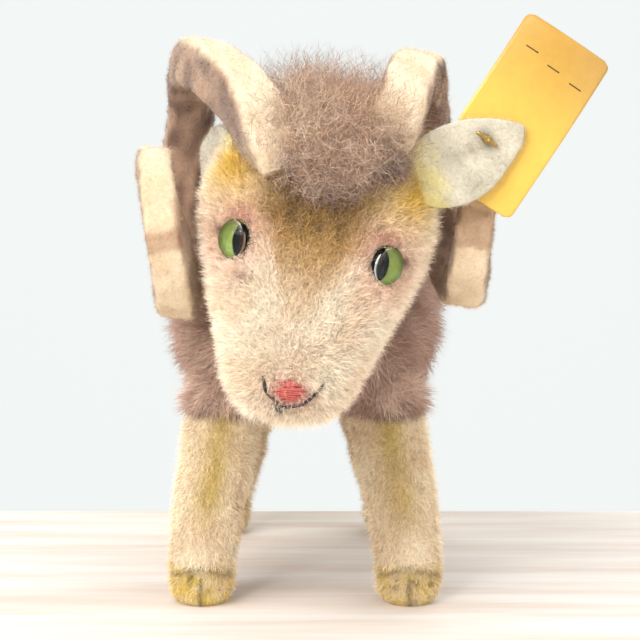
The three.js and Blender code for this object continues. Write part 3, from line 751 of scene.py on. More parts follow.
def plant(
    name: str,
    skin: Skin,
    pile: Pile,
    count: int,
    seed: int,
    weight: np.ndarray,
    nap_of: object,
    length_of: object,
    tint_of: object,
    material: bpy.types.Material,
    body: str,
) -> list[bpy.types.Object]:
    """Grows pile on a skin, as one piece or as several that each stay small enough.

    Args:
        name: The piece's name; a number is added to a second piece and to those after it.
        skin: What the pile grows on.
        pile: How it grows.
        count: How many strands.
        seed: Picks the chance.
        weight: How thickly it stands at each point of the skin.
        nap_of: Gives the brushing direction at places.
        length_of: Gives a factor on the length at places.
        tint_of: Gives the colour at places.
        material: The strands' material.
        body: The CAD body it rides on.

    Returns:
        The pieces.
    """
    rng = np.random.default_rng(seed)
    most = PIECE_TRIANGLES // pile.triangles
    pieces = []
    for number, start in enumerate(range(0, count, most)):
        root, outward = skin.sown(min(most, count - start), weight, rng)
        length = length_of(root)
        kept = length > 0.08
        root, outward, length = root[kept], outward[kept], length[kept]
        nap = nap_of(root)
        nap = nap - outward * (nap * outward).sum(1)[:, None]
        points, faces, cells, along = pile.grown(root, outward, nap, length, rng)
        stride = len(points) // len(root)
        tint = tint_of(root) * rng.normal(1.0, 0.07, (len(root), 1))
        title = name if number == 0 else f"{name}_{number + 1}"
        piece = mesh_piece(title, points, faces, np.repeat(tint, stride, axis=0), along, cells)
        pieces.append(dress(piece, material, body))
    return pieces


# ---------------------------------------------------------------- torso and tail


def level(value: float) -> object:
    """A function that gives the same factor everywhere."""
    return lambda places: np.full(len(places), value)


def towards(x: float, y: float, z: float) -> object:
    """A function that gives the same direction everywhere."""
    return lambda places: np.tile(unit(np.array([x, y, z], float)), (len(places), 1))


def plush(clouds: np.ndarray) -> np.ndarray:
    """The body's brown plush, from its darker clouds (0) to its lighter ones (1)."""
    return mix(linear(178, 142, 124), linear(232, 206, 188), clouds)


BODY_FINISH = {"root": 0.86, "tip_colour": (150, 112, 98), "tip_from": 0.5}


@dataclass
class Torso:
    """The stuffed body: a blunt loaf that is narrower at the top of the shoulders."""

    middle_y: float = 7.0
    middle_z: float = 63.5
    half_length: float = 51.0
    half_width: float = 27.5
    half_height: float = 23.0
    length_power: float = 3.4
    side_power: float = 3.0
    section_power: float = 2.7
    shoulder_narrowing: float = 0.34
    strands: int = 110_000
    pile: Pile = field(
        default_factory=lambda: Pile(
            length=4.4, width=0.14, lean=0.95, spread=0.42, curl=0.5, turns=1.3, tuft=0.55,
            tuft_size=7.0, bends=4, droop=0.5,
        )
    )

    def rings(self, rows: int, around: int) -> np.ndarray:
        """Rings from the chest to the rump, on the outside of the backing cloth."""
        slope = np.linspace(0.012, math.pi - 0.012, rows)
        turn = np.linspace(0.0, 2.0 * math.pi, around, endpoint=False)
        along = -squared(np.cos(slope), self.length_power)
        y = self.middle_y + self.half_length * along
        up = squared(np.sin(turn), self.section_power)
        across = squared(np.cos(turn), self.section_power)
        z = self.middle_z + self.half_height * up[None] * dome(along, self.length_power)[:, None]
        fore = 1.0 - smooth(y, -30.0, 6.0)[:, None]
        narrowed = 1.0 - self.shoulder_narrowing * smooth(z, 52.0, 76.0) * fore
        x = self.half_width * across[None] * dome(along, self.side_power)[:, None] * narrowed
        return np.stack([x, np.broadcast_to(y[:, None], x.shape), z], axis=-1)

    def tint(self, places: np.ndarray) -> np.ndarray:
        """Brown plush, warmer and darker in clouds, with painted shade on its underside just above the legs.
        """
        clouds = ripple(places, 14.0, 5) + 0.7 * ripple(places, 6.0, 6)
        colour = plush(smooth(clouds, -2.4, 2.4)[:, None])
        # painted shade: the underside below about 46 mm is darkened, where the body hangs over the legs
        low = 1.0 - smooth(places[:, 2], 41.0, 46.0)
        return mix(colour, linear(120, 84, 70), 0.5 * low[:, None])

    def weight(self, points: np.ndarray) -> np.ndarray:
        """The pile stands everywhere but where the head covers the chest."""
        x, y, z = points.T
        under_head = (y < -38.0) & (np.abs(z - 68.0) < 15.0) & (np.abs(x) < 16.0)
        return np.where(under_head, 0.0, 1.0)

    def length(self, places: np.ndarray) -> np.ndarray:
        """Shorter where the horns pass the shoulders, where the head meets the chest, and on the belly."""
        by_horns = smooth(places[:, 1], -40.0, 0.0) + 1.0 - smooth(places[:, 2], 56.0, 64.0)
        belly = smooth(places[:, 2], 40.5, 50.0)
        return (0.42 + 0.58 * np.clip(by_horns, 0.0, 1.0)) * (0.35 + 0.65 * belly)

    def build(self) -> list[bpy.types.Object]:
        """Makes the body's cloth and its pile.

        Returns:
            The pieces.
        """
        points, faces = capped(self.rings(64, 96))
        cloth = mesh_piece("body_cloth", points, faces, self.tint(points))
        dress(cloth, BackingFinish("body_backing").material(), "body")
        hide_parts("body_skin")
        skin = Skin.from_faces(points, faces)
        finish = PileFinish("body_pile", **BODY_FINISH)
        fur = plant(
            "body_pile", skin, self.pile, self.strands, 21, self.weight(points),
            towards(0.0, 0.75, -0.65), self.length, self.tint, finish.material(), "body",
        )
        return [cloth, *fur]


@dataclass
class Tail:
    """A short flat tail of the body's plush, hanging against the rump."""

    y: float = 59.4
    z: float = 65.0
    half_width: float = 5.0
    half_depth: float = 3.4
    half_length: float = 12.2
    strands: int = 9_000
    pile: Pile = field(
        default_factory=lambda: Pile(
            length=4.6, width=0.16, lean=0.9, spread=0.35, curl=0.5, tuft=0.4, droop=0.6
        )
    )

    def build(self, torso: Torso) -> list[bpy.types.Object]:
        """Makes the tail's cloth and its pile.

        Args:
            torso: Whose plush it is cut from.

        Returns:
            The pieces.
        """
        slope = np.linspace(0.05, math.pi - 0.05, 24)
        turn = np.linspace(0.0, 2.0 * math.pi, 24, endpoint=False)
        wide = np.sin(slope)[:, None] ** 0.8
        x = self.half_width * wide * np.cos(turn)
        depth = self.half_depth * wide * np.sin(turn)
        z = -self.half_length * np.cos(slope)[:, None] + 0.0 * x
        lean = math.radians(6.0)
        y = self.y + depth * math.cos(lean) - z * math.sin(lean)
        rings = np.stack([x, y, self.z + z * math.cos(lean) + depth * math.sin(lean)], axis=-1)
        points, faces = capped(rings)
        share = (points[:, 2] - torso.middle_z) / torso.half_height
        behind = torso.middle_y + torso.half_length * dome(share, torso.length_power)
        points[:, 1] = np.maximum(points[:, 1], behind + 0.2)
        cloth = mesh_piece("tail_cloth", points, faces, torso.tint(points))
        dress(cloth, BackingFinish("tail_backing").material(), "body")
        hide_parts("tail")
        finish = PileFinish("tail_pile", **BODY_FINISH)
        fur = plant(
            "tail_pile", Skin.from_faces(points, faces), self.pile, self.strands, 22, np.ones(len(points)),
            towards(0.0, 0.2, -1.0), level(1.0), torso.tint, finish.material(), "body",
        )
        return [cloth, *fur]


# ---------------------------------------------------------------- legs


@dataclass
class Leg:
    """One stuffed leg of short plush, from its flat sole up into the torso."""

    end: str
    side: Side
    y: float
    stations: list[tuple[float, float, float, float, float]]  # z, x, half width, half depth, forward
    height: float = 52.0
    strands: int = 27_000
    plush_from_z: float = 41.5  # the body's long plush comes down this far over the leg
    pile: Pile = field(
        default_factory=lambda: Pile(
            length=1.5, width=0.11, lean=0.8, spread=0.45, curl=0.24, turns=1.0, tuft=0.4,
            tuft_size=3.5, bends=3,
        )
    )

    def station(self, height: np.ndarray) -> np.ndarray:
        """The leg's x, half width, half depth and forward shift at each height."""
        table = np.array(self.stations)
        upper = np.clip(np.searchsorted(table[:, 0], height), 1, len(table) - 1)
        below, above = table[upper - 1], table[upper]
        share = (height - below[:, 0]) / (above[:, 0] - below[:, 0])
        eased = np.where(upper == 1, share, 0.5 * smooth(share, 0.0, 1.0) + 0.5 * share)
        return mix(below[:, 1:], above[:, 1:], eased[:, None])

    def rings(self, rows: int, around: int) -> np.ndarray:
        """Rings from the sole to the top of the leg."""
        height = self.height * np.linspace(0.0, 1.0, rows) ** 1.6
        shape = self.station(height)
        turn = np.linspace(0.0, 2.0 * math.pi, around, endpoint=False)
        x = shape[:, :1] + shape[:, 1:2] * np.cos(turn)
        y = self.y - shape[:, 3:4] + shape[:, 2:3] * np.sin(turn)
        z = np.broadcast_to(height[:, None], x.shape)
        rings = np.stack([self.side.value * x, y, z], axis=-1)
        return rings if self.side is Side.LEFT else rings[:, ::-1]

    def tint(self, places: np.ndarray) -> np.ndarray:
        """Cream plush with a yellow streak down the front and a painted hoof, below the body's brown, with
        painted shade along the brown's edge.

        Args:
            places: Places on the leg.

        Returns:
            A colour for each place.
        """
        shape = self.station(places[:, 2])
        outside = (self.side.value * places[:, 0] - shape[:, 0]) / np.maximum(1.0, shape[:, 1])
        facing = smooth(self.y - shape[:, 3] - places[:, 1], -1.0, 5.0)
        clouds = smooth(ripple(places, 9.0, 31), -1.2, 1.2)[:, None]
        colour = mix(linear(236, 214, 182), linear(250, 234, 206), clouds)
        streak = near(outside, 0.02, 0.42) * facing * smooth(places[:, 2], 13.0, 24.0)
        colour = mix(colour, linear(206, 176, 70), 0.8 * streak[:, None] * (0.6 + 0.4 * clouds))
        above = places[:, 2] - self.plush_from_z + 0.5 * ripple(places, 4.0, 33)
        colour = mix(colour, plush(clouds), smooth(above, -0.8, 0.8)[:, None])
        # painted shade: a dark line along the edge where the body's long plush hangs over the leg
        colour = mix(colour, linear(92, 58, 50), 0.7 * near(above, 0.0, 0.6)[:, None])
        hoof = 1.0 - smooth(places[:, 2] + 0.5 * ripple(places, 3.0, 35), 7.2, 9.6)
        hoof = hoof * smooth(facing, 0.05, 0.6)
        hoof = hoof * (0.45 + 0.55 * smooth(ripple(places, 3.4, 37), -0.7, 0.5))
        colour = mix(colour, linear(232, 200, 62), 0.8 * hoof[:, None] * (0.55 + 0.45 * clouds))
        arch = 8.4 - 2.2 * np.abs(outside) ** 1.5
        claw = near(places[:, 2], arch, 0.55) * smooth(facing, 0.1, 0.7)
        split = near(outside, 0.0, 0.09) * smooth(facing, 0.3, 0.9)
        split = split * (1.0 - smooth(places[:, 2], 5.5, 8.5))
        smudge = hoof * smooth(ripple(places, 2.6, 39), 0.5, 1.1)
        return mix(colour, linear(92, 62, 40), 0.62 * np.maximum(np.maximum(claw, split), smudge)[:, None])

    def build(self) -> list[bpy.types.Object]:
        """Makes the leg's cloth and its pile.

        Returns:
            The pieces.
        """
        name = f"{self.end}_{self.side.word}_leg"
        points, faces = capped(self.rings(44, 48))
        cloth = mesh_piece(f"{name}_cloth", points, faces, self.tint(points))
        # 0.9: the backing's painted shade under the leg's short pile
        dress(cloth, BackingFinish(f"{name}_backing", 0.9).material(), "body")
        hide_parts(f"{name}_skin")
        weight = np.where(points[:, 2] < 0.3, 0.0, 1.0)
        finish = PileFinish(f"{name}_pile", root=0.84, tip=1.1)
        skin = Skin.from_faces(points, faces)
        fur = plant(
            f"{name}_pile", skin, self.pile, self.strands, 41 + int(self.y), weight,
            towards(0.0, 0.0, -1.0), self.length, self.tint, finish.material(), "body",
        )
        for piece in fur:
            self.rest_on_table(piece)
        return [cloth, *fur]

    def length(self, places: np.ndarray) -> np.ndarray:
        """Very short at the sole's edge, and as long as the body's where the body's plush comes down."""
        body = 1.5 * smooth(places[:, 2], self.plush_from_z - 0.5, self.plush_from_z + 1.5)
        return 0.25 + 0.75 * smooth(places[:, 2], 0.3, 4.0) + body

    @staticmethod
    def rest_on_table(piece: bpy.types.Object) -> None:
        """Keeps the pile above the table."""
        count = len(piece.data.vertices)
        places = np.empty(count * 3, np.float32)
        piece.data.vertices.foreach_get("co", places)
        places = places.reshape(-1, 3)
        places[:, 2] = np.maximum(places[:, 2], 0.05 * MM)
        piece.data.vertices.foreach_set("co", places.ravel())
        piece.data.update()


FRONT_STATIONS = [
    (0.0, 22.2, 5.2, 6.2, 0.4),
    (1.6, 22.2, 6.1, 7.2, 0.6),
    (8.0, 22.2, 6.5, 7.4, 0.4),
    (20.0, 20.8, 7.0, 7.2, 0.0),
    (34.0, 18.4, 7.6, 8.8, -0.8),
    (44.0, 16.4, 7.7, 9.0, -1.6),
    (56.0, 12.0, 6.0, 8.0, -3.0),
]
REAR_STATIONS = [
    (0.0, 21.4, 5.4, 6.4, 0.6),
    (1.6, 21.4, 6.3, 7.4, 0.8),
    (8.0, 21.2, 6.7, 7.6, 0.4),
    (20.0, 18.8, 7.8, 7.8, -2.4),
    (34.0, 16.8, 9.6, 10.6, 0.2),
    (44.0, 15.4, 9.4, 10.6, 0.8),
    (56.0, 12.0, 7.0, 9.0, 1.0),
]


# ---------------------------------------------------------------- head


@dataclass
class Head:
    """The stuffed head: a broad blunt skull that narrows to the muzzle.

    It is modelled straight and then turned.
    """

    chin_z: float = 46.0
    crown_z: float = 103.0
    dome_power: float = 3.0
    section_power: float = 2.3
    muzzle_half_width: float = 14.4
    skull_half_width: float = 22.8
    muzzle_front_y: float = -78.5
    forehead_y: float = -66.5
    throat_y: float = -52.0
    nape_y: float = -31.0
    crown_half_width: float = 14.0
    forelock_z: float = 88.0
    forelock_slope: float = 0.56  # how steeply the crown's edge climbs from the forelock's point
    socket_depth: float = 2.6
    eye_x: float = 15.1
    eye_z: float = 78.2
    nose_x: float = 0.8
    nose_z: float = 52.4

    def ring(self, z: np.ndarray) -> tuple[np.ndarray, np.ndarray, np.ndarray]:
        """The head's middle y, half width and half depth at each height."""
        z = np.asarray(z, float)
        front = mix(self.muzzle_front_y, self.forehead_y, smooth(z, 51.0, 85.0))
        back = mix(self.throat_y, self.nape_y, smooth(z, 42.0, 62.0))
        wide = mix(self.muzzle_half_width, self.skull_half_width, smooth(z, 53.0, 87.0))
        half_height = (self.crown_z - self.chin_z) / 2.0
        share = dome((z - (self.crown_z + self.chin_z) / 2.0) / half_height, self.dome_power)
        return (front + back) / 2.0, wide * share, (back - front) / 2.0 * share

    def face_y(self, x: np.ndarray, z: np.ndarray) -> np.ndarray:
        """Where the front of the face lies."""
        middle, half_width, half_depth = self.ring(z)
        return middle - half_depth * dome(x / half_width, self.section_power)

    def rings(self, rows: int, around: int) -> np.ndarray:
        """Rings from the chin to the crown."""
        slope = np.linspace(0.015, math.pi - 0.015, rows)
        rise = -squared(np.cos(slope), self.dome_power)
        z = (self.crown_z + self.chin_z) / 2.0 + (self.crown_z - self.chin_z) / 2.0 * rise
        middle, half_width, half_depth = self.ring(z)
        turn = np.linspace(0.0, 2.0 * math.pi, around, endpoint=False)
        x = half_width[:, None] * squared(np.cos(turn), self.section_power)
        y = middle[:, None] + half_depth[:, None] * squared(np.sin(turn), self.section_power)
        return np.stack([x, y, np.broadcast_to(z[:, None], x.shape)], axis=-1)

    def crown_share(self, places: np.ndarray) -> np.ndarray:
        """How far a place belongs to the long plush of the crown: 1 within it, 0 on the face."""
        x, y, z = np.abs(places[:, 0]), places[:, 1], places[:, 2]
        edge = self.forelock_z + self.forelock_slope * x
        aside = smooth(x - self.crown_half_width, -0.7, 0.7)
        above = smooth(z - edge, -1.0, 1.0) * (1.0 - aside)
        behind = smooth(y, -47.8, -46.2)
        return np.maximum(above, behind)

    def around_eyes(self, places: np.ndarray) -> tuple[np.ndarray, np.ndarray, np.ndarray]:
        """How far each place is from the nearer eye's middle, and which way from it.

        Args:
            places: Places on the head.

        Returns:
            The distance, the outward sideways part and the upward part.
        """
        aside = np.abs(places[:, 0]) - self.eye_x
        up = places[:, 2] - self.eye_z
        deep = places[:, 1] - self.face_y(np.full(len(places), self.eye_x), np.full(len(places), self.eye_z))
        along = aside * math.cos(math.radians(33.0)) + deep * math.sin(math.radians(33.0))
        return np.hypot(along, up), along, up

    def tint(self, places: np.ndarray) -> np.ndarray:
        """Cream plush with the forehead, brow, eyes and muzzle airbrushed.

        Args:
            places: Places on the straight head.

        Returns:
            A colour for each place.
        """
        x, z = places[:, 0], places[:, 2]
        front = 1.0 - smooth(places[:, 1], -58.0, -50.0)
        clouds = smooth(ripple(places, 8.0, 51), -1.2, 1.2)
        colour = mix(linear(244, 226, 202), linear(252, 240, 220), clouds[:, None])
        rough = 1.2 * ripple(places, 4.5, 53)
        width = mix(4.0, 15.0, smooth(z, 64.0, 90.0)) + rough
        forehead = (1.0 - smooth(np.abs(x), width * 0.45, width)) * smooth(z + rough, 64.0, 82.0) * front
        colour = mix(colour, linear(204, 162, 66), 0.85 * forehead[:, None])
        brow = (1.0 - smooth(np.abs(x), width * 0.3, width * 0.95)) * smooth(z + rough, 78.0, 89.0) * front
        colour = mix(colour, linear(120, 82, 32), 0.78 * brow[:, None])
        corner = near(np.abs(x), 17.5, 6.0) * near(z, 92.0, 6.5) * front
        colour = mix(colour, linear(232, 196, 56), 0.9 * corner[:, None])
        distance, along, up = self.around_eyes(places)
        blush = near(distance, 0.0, 7.0) * front
        colour = mix(colour, linear(240, 184, 160), 0.6 * blush[:, None])
        lid = near(along, -1.0, 3.2) * near(up, 4.6, 1.5) * front
        colour = mix(colour, linear(206, 112, 88), 0.45 * lid[:, None])
        outer = near(along, 4.4, 1.1) * near(up, 1.0, 1.1) * front
        inner = near(along, -3.6, 1.2) * near(up, -0.5, 1.6) * front
        colour = mix(colour, linear(120, 64, 44), np.clip(0.85 * outer + 0.35 * inner, 0, 1)[:, None])
        freckle = near(x, -11.6, 1.2) * near(z, 71.2, 1.1) * front
        colour = mix(colour, linear(150, 92, 66), 0.75 * freckle[:, None])
        nose = near(x, self.nose_x, 3.2) * near(z, self.nose_z, 2.2) * front
        return mix(colour, linear(222, 112, 98), 0.85 * nose[:, None])

    def crown_tint(self, places: np.ndarray) -> np.ndarray:
        """Tan curls with dark clouds, and painted shade along the forelock's edge and round the horns'
        roots.

        Args:
            places: Places on the straight head.

        Returns:
            A colour for each place.
        """
        x, z = places[:, 0], places[:, 2]
        clouds = smooth(ripple(places, 7.0, 61), -1.0, 1.2)
        colour = mix(linear(222, 182, 150), linear(252, 224, 194), clouds[:, None])
        # painted shade: darker round the horns' roots, beneath the horns' arches
        root = near(np.abs(x), 12.0, 3.0) * smooth(z, 88.0, 95.0)
        edge = near(z, self.forelock_z + self.forelock_slope * np.abs(x), 1.8)
        # painted shade: the horns' roots and the forelock's edge, where the curls hang over the face, are
        # darkened together
        dark = np.clip(0.6 * root + 0.5 * edge * (1.0 - smooth(places[:, 1], -58.0, -50.0)), 0, 1)
        return mix(colour, linear(96, 64, 54), dark[:, None])

    def nap(self, places: np.ndarray) -> np.ndarray:
        """The face is brushed up and out from the nose; round the eyes it lies away from them."""
        x, y, z = places.T
        from_nose = unit(np.stack([1.3 * x, 0.5 * (y + 80.0), z - 54.0], axis=-1))
        distance, along, up = self.around_eyes(places)
        away = np.stack([np.sign(places[:, 0]) * along, 0.2 * distance, up], axis=-1)
        near = np.exp(-((distance / 5.5) ** 4))[:, None]
        return unit(mix(from_nose, unit(away), near))

    def face_length(self, places: np.ndarray) -> np.ndarray:
        """Shorter round the eyes and the nose; nothing grows through the eyes."""
        distance, _, _ = self.around_eyes(places)
        open_eye = smooth(distance, 3.4, 4.2)
        near_eye = 0.45 + 0.55 * smooth(distance, 4.0, 8.0)
        muzzle = np.hypot((places[:, 0] - self.nose_x) / 1.25, places[:, 2] - self.nose_z + 0.6)
        near_nose = 0.6 + 0.4 * smooth(muzzle, 2.6, 5.0)
        front = places[:, 1] < -55.0
        return np.where(front, open_eye * near_eye * near_nose, 1.0)

    def build(self) -> list[bpy.types.Object]:
        """Makes the head's cloth, the face's short pile and the crown's curls.

        Returns:
            The pieces.
        """
        points, faces = capped(self.rings(72, 96))
        share = self.crown_share(points)
        tint = mix(self.tint(points), self.crown_tint(points), share[:, None])
        distance, _, _ = self.around_eyes(points)
        hollow = (1.0 - smooth(distance, 3.2, 4.4)) * (points[:, 1] < -55.0)
        sunk = points.copy()
        sunk[:, 0] -= 0.5 * self.socket_depth * np.sign(points[:, 0]) * hollow
        sunk[:, 1] += 0.84 * self.socket_depth * hollow
        cloth = mesh_piece("head_cloth", TURN.turned(sunk), faces, tint)
        # 0.92: the backing's painted shade under the face's short pile
        dress(cloth, BackingFinish("head_backing", 0.92).material(), "head")
        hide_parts("face_skin", "crown_skin")
        straight = Skin.from_faces(points, faces)
        face_pile = Pile(
            length=2.4, width=0.1, lean=0.7, spread=0.6, curl=0.34, turns=1.1, tuft=0.6,
            tuft_size=2.6, bends=4,
        )
        crown_pile = Pile(
            length=7.6, width=0.11, lean=0.2, spread=0.75, curl=1.5, turns=2.6, tuft=0.6,
            tuft_size=4.0, bends=8,
        )
        pieces = [cloth]
        face_finish = PileFinish("face_pile", root=0.86, tip=1.12).material()
        crown_finish = PileFinish("crown_pile", root=0.95, tip_colour=(84, 46, 40), tip_from=0.62).material()
        pieces += self.planted(
            "face_pile", straight, face_pile, 96_000, 71, np.where(share < 0.5, 1.0, 0.0),
            self.nap, self.face_length, self.tint, face_finish,
        )
        pieces += self.planted(
            "crown_pile", straight, crown_pile, 23_000, 72, self.crown_weight(points, share),
            self.crown_nap, self.crown_length, self.crown_tint, crown_finish,
        )
        return pieces

    def crown_weight(self, points: np.ndarray, share: np.ndarray) -> np.ndarray:
        """The curls stand thickest between the horns, and not where the neck meets the body."""
        top = smooth(points[:, 2], 84.0, 96.0) * (np.abs(points[:, 0]) < 15.0)
        neck = (points[:, 1] > -43.0) & (points[:, 2] < 84.0)
        return np.where((share > 0.5) & ~neck, 0.35 + 1.65 * top, 0.0)

    def crown_nap(self, places: np.ndarray) -> np.ndarray:
        """Up on the crown, forward and down over the forelock, back and down behind."""
        low = 1.0 - smooth(places[:, 2], 92.0, 99.0)
        fore = 1.0 - smooth(places[:, 1], -58.0, -50.0)
        every = np.ones(len(low))
        up = np.stack([0.0 * every, 0.0 * every, 1.6 * every], axis=-1)
        over = np.stack([0.25 * places[:, 0] / 12.0, -0.4 * every, -0.9 * every], axis=-1)
        behind = np.stack([0.3 * np.sign(places[:, 0]), 0.5 * every, -0.5 * every], axis=-1)
        return mix(up, mix(behind, over, fore[:, None]), low[:, None])

    def crown_length(self, places: np.ndarray) -> np.ndarray:
        """Longest on top between the horns, short over the forelock's point and behind."""
        top = smooth(places[:, 2], 93.0, 101.0) * (1.0 - smooth(np.abs(places[:, 0]), 10.0, 15.0))
        behind = smooth(places[:, 1], -52.0, -44.0)
        return mix(mix(0.55, 0.5, behind), 1.45, top)

    def planted(
        self,
        name: str,
        skin: Skin,
        pile: Pile,
        count: int,
        seed: int,
        weight: np.ndarray,
        nap: object,
        length: object,
        tint: object,
        material: bpy.types.Material,
    ) -> list[bpy.types.Object]:
        """Plants pile on the straight head and turns it with the head.

        Args:
            name: The piece's name.
            skin: The straight head's skin.
            pile: How it grows.
            count: How many strands.
            seed: Picks the chance.
            weight: How thickly it stands at each point.
            nap: Gives the brushing direction.
            length: Gives the factor on the length.
            tint: Gives the colour.
            material: The strands' material.

        Returns:
            The pieces.
        """
        pieces = plant(name, skin, pile, count, seed, weight, nap, length, tint, material, "head")
        for piece in pieces:
            turn_piece(piece)
        return pieces


def turn_piece(piece: bpy.types.Object) -> None:
    """Turns a piece that was written on the straight head, as the head is turned."""
    count = len(piece.data.vertices)
    places = np.empty(count * 3, np.float32)
    piece.data.vertices.foreach_get("co", places)
    origin = TOY.world(np.zeros(3))
    toy = (places.reshape(-1, 3).astype(float) - origin) / MM
    piece.data.vertices.foreach_set("co", TOY.world(TURN.turned(toy)).astype(np.float32).ravel())
    piece.data.update()


def tube(route: np.ndarray, radius: float, around: int = 8) -> np.ndarray:
    """Rings of a round thread along a route.

    Args:
        route: Places along the thread, in millimetres.
        radius: The thread's radius.
        around: Points in one ring.

    Returns:
        The rings.
    """
    ahead = unit(np.gradient(route, axis=0))
    side = unit(np.cross(ahead, np.array([0.31, 0.2, 0.93])))
    other = np.cross(ahead, side)
    turn = np.linspace(0.0, 2.0 * math.pi, around, endpoint=False)
    ends = 1.0 - 0.75 * (np.linspace(-1.0, 1.0, len(route)) ** 12)[:, None, None]
    ring = side[:, None] * np.cos(turn)[None, :, None] + other[:, None] * np.sin(turn)[None, :, None]
    return route[:, None] + ring * radius * ends


def merged(forms: list[np.ndarray]) -> tuple[np.ndarray, list[np.ndarray]]:
    """Several closed tubes as one set of points and faces."""
    points, quads, caps, start = [], [], [], 0
    for rings in forms:
        places, (quad, cap) = capped(rings)
        points.append(places)
        quads.append(quad + start)
        caps.append(cap + start)
        start += len(places)
    return np.concatenate(points), [np.concatenate(quads), np.concatenate(caps)]


def between(a: np.ndarray, b: np.ndarray, c: np.ndarray, d: np.ndarray, t: np.ndarray) -> np.ndarray:
    """A share of the way from b to c on the smooth curve a, b, c, d (Catmull-Rom)."""
    return 0.5 * (2 * b + (c - a) * t + (2 * a - 5 * b + 4 * c - d) * t**2 + (3 * b - a - 3 * c + d) * t**3)


def through(route: list[tuple[float, ...]], count: int) -> np.ndarray:
    """Evenly spaced places on a smooth curve through the given ones."""
    stops = np.array(route, float)
    stops = np.concatenate([[2 * stops[0] - stops[1]], stops, [2 * stops[-1] - stops[-2]]])
    share = np.linspace(0.0, len(route) - 1 - 1e-6, count)
    index = share.astype(int)
    t = (share - index)[:, None]
    a, b, c, d = (stops[index + k] for k in range(4))
    return between(a, b, c, d, t)


# ---------------------------------------------------------------- eyes and stitches


@dataclass
class Eye:
    """A glass eye: a clear dome with a green ring and a pointed pupil painted behind it."""

    side: Side
    radius: float = 3.8
    outward_deg: float = 33.0
    dome_height: float = 2.0
    rim_height: float = 0.5
    glass_from: float = -0.5
    cup_share: float = 1.07  # the green cup reaches this far round the glass
    pupil_half_width: float = 1.1
    pupil_half_height: float = 2.8
    pupil_aside: float = -0.9  # towards the nose

    def placed(self, across: np.ndarray, up: np.ndarray, out: np.ndarray, head: Head) -> np.ndarray:
        """Places given across, up and out of the eye, on the turned head."""
        turn = math.radians(self.outward_deg)
        outward = np.array([math.sin(turn), -math.cos(turn), 0.0])
        sideways = np.array([math.cos(turn), math.sin(turn), 0.0])
        face_y = float(head.face_y(np.array(head.eye_x), np.array(head.eye_z)))
        middle = np.array([head.eye_x, face_y, head.eye_z])
        places = middle + across[..., None] * sideways + out[..., None] * outward
        places = places + up[..., None] * np.array([0.0, 0.0, 1.0])
        return TURN.turned(places * np.array([self.side.value, 1.0, 1.0]))

    def disc(self, head: Head, half_width: float, half_height: float, point: float, out: float) -> tuple:
        """A thin disc across the eye.

        Args:
            head: The head it sits in.
            half_width: Its half width.
            half_height: Its half height.
            point: 0 for a round cup whose rim comes forward, up to 1 for a flat pointed leaf.
            out: How far forward of the skin its front lies.

        Returns:
            Its points, its faces and each point's share of the radius.
        """
        share = np.concatenate([np.linspace(0.05, 1.0, 12), [1.0, 0.05]])
        depth = np.concatenate([np.full(12, 0.0), [-0.3, -0.3]]) - 0.35 * share**2 + (1.0 - point) * share**8
        turn = np.linspace(0.0, 2.0 * math.pi, 40, endpoint=False)
        leaf = np.abs(np.cos(turn)) ** (1.0 + point)
        across = self.pupil_aside * point + half_width * share[:, None] * np.sign(np.cos(turn)) * leaf
        up = half_height * share[:, None] * np.sin(turn)
        rings = self.placed(across, up, np.broadcast_to((out + depth)[:, None], across.shape), head)
        points, faces = capped(rings if self.side is Side.RIGHT else rings[:, ::-1])
        radial = np.concatenate([np.repeat(share, len(turn)), [0.0, 0.0]])
        return points, faces, radial

    def build(self, head: Head) -> list[bpy.types.Object]:
        """Makes the glass, the pupil and the green back.

        Args:
            head: The head it sits in.

        Returns:
            The pieces.
        """
        name = f"{self.side.word}_eye"
        slope = np.linspace(0.0, math.pi / 2.0 - 0.02, 16)
        out = np.concatenate([[0.0], self.rim_height + self.dome_height * np.sin(slope)]) + self.glass_from
        wide = np.concatenate([[0.97], np.cos(slope)]) * self.radius
        turn = np.linspace(0.0, 2.0 * math.pi, 48, endpoint=False)
        across, up = wide[:, None] * np.cos(turn), wide[:, None] * np.sin(turn)
        rings = self.placed(across, up, np.broadcast_to(out[:, None], across.shape), head)
        points, faces = capped(rings)
        glass = mesh_piece(f"{name}_dome", points, faces)
        dress(glass, GlassFinish(f"{name}_clear").material(), "head")
        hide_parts(f"{name}_glass")
        cup = self.radius * self.cup_share
        points, faces, radial = self.disc(head, cup, cup, 0.0, self.glass_from - 0.3)
        iris = mesh_piece(f"{name}_ring", points, faces, along=radial)
        green = EnamelFinish(f"{name}_green", rim=(76, 88, 32), middle=(142, 156, 80))
        dress(iris, green.material(), "head")
        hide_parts(f"{name}_iris")
        points, faces, radial = self.disc(
            head, self.pupil_half_width, self.pupil_half_height, 0.6, self.glass_from - 0.02
        )
        pupil = mesh_piece(f"{name}_slit", points, faces, along=radial)
        black = EnamelFinish(f"{name}_black", rim=(14, 16, 14), middle=(8, 8, 8))
        dress(pupil, black.material(), "head")
        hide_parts(f"{name}_pupil")
        return [glass, iris, pupil]


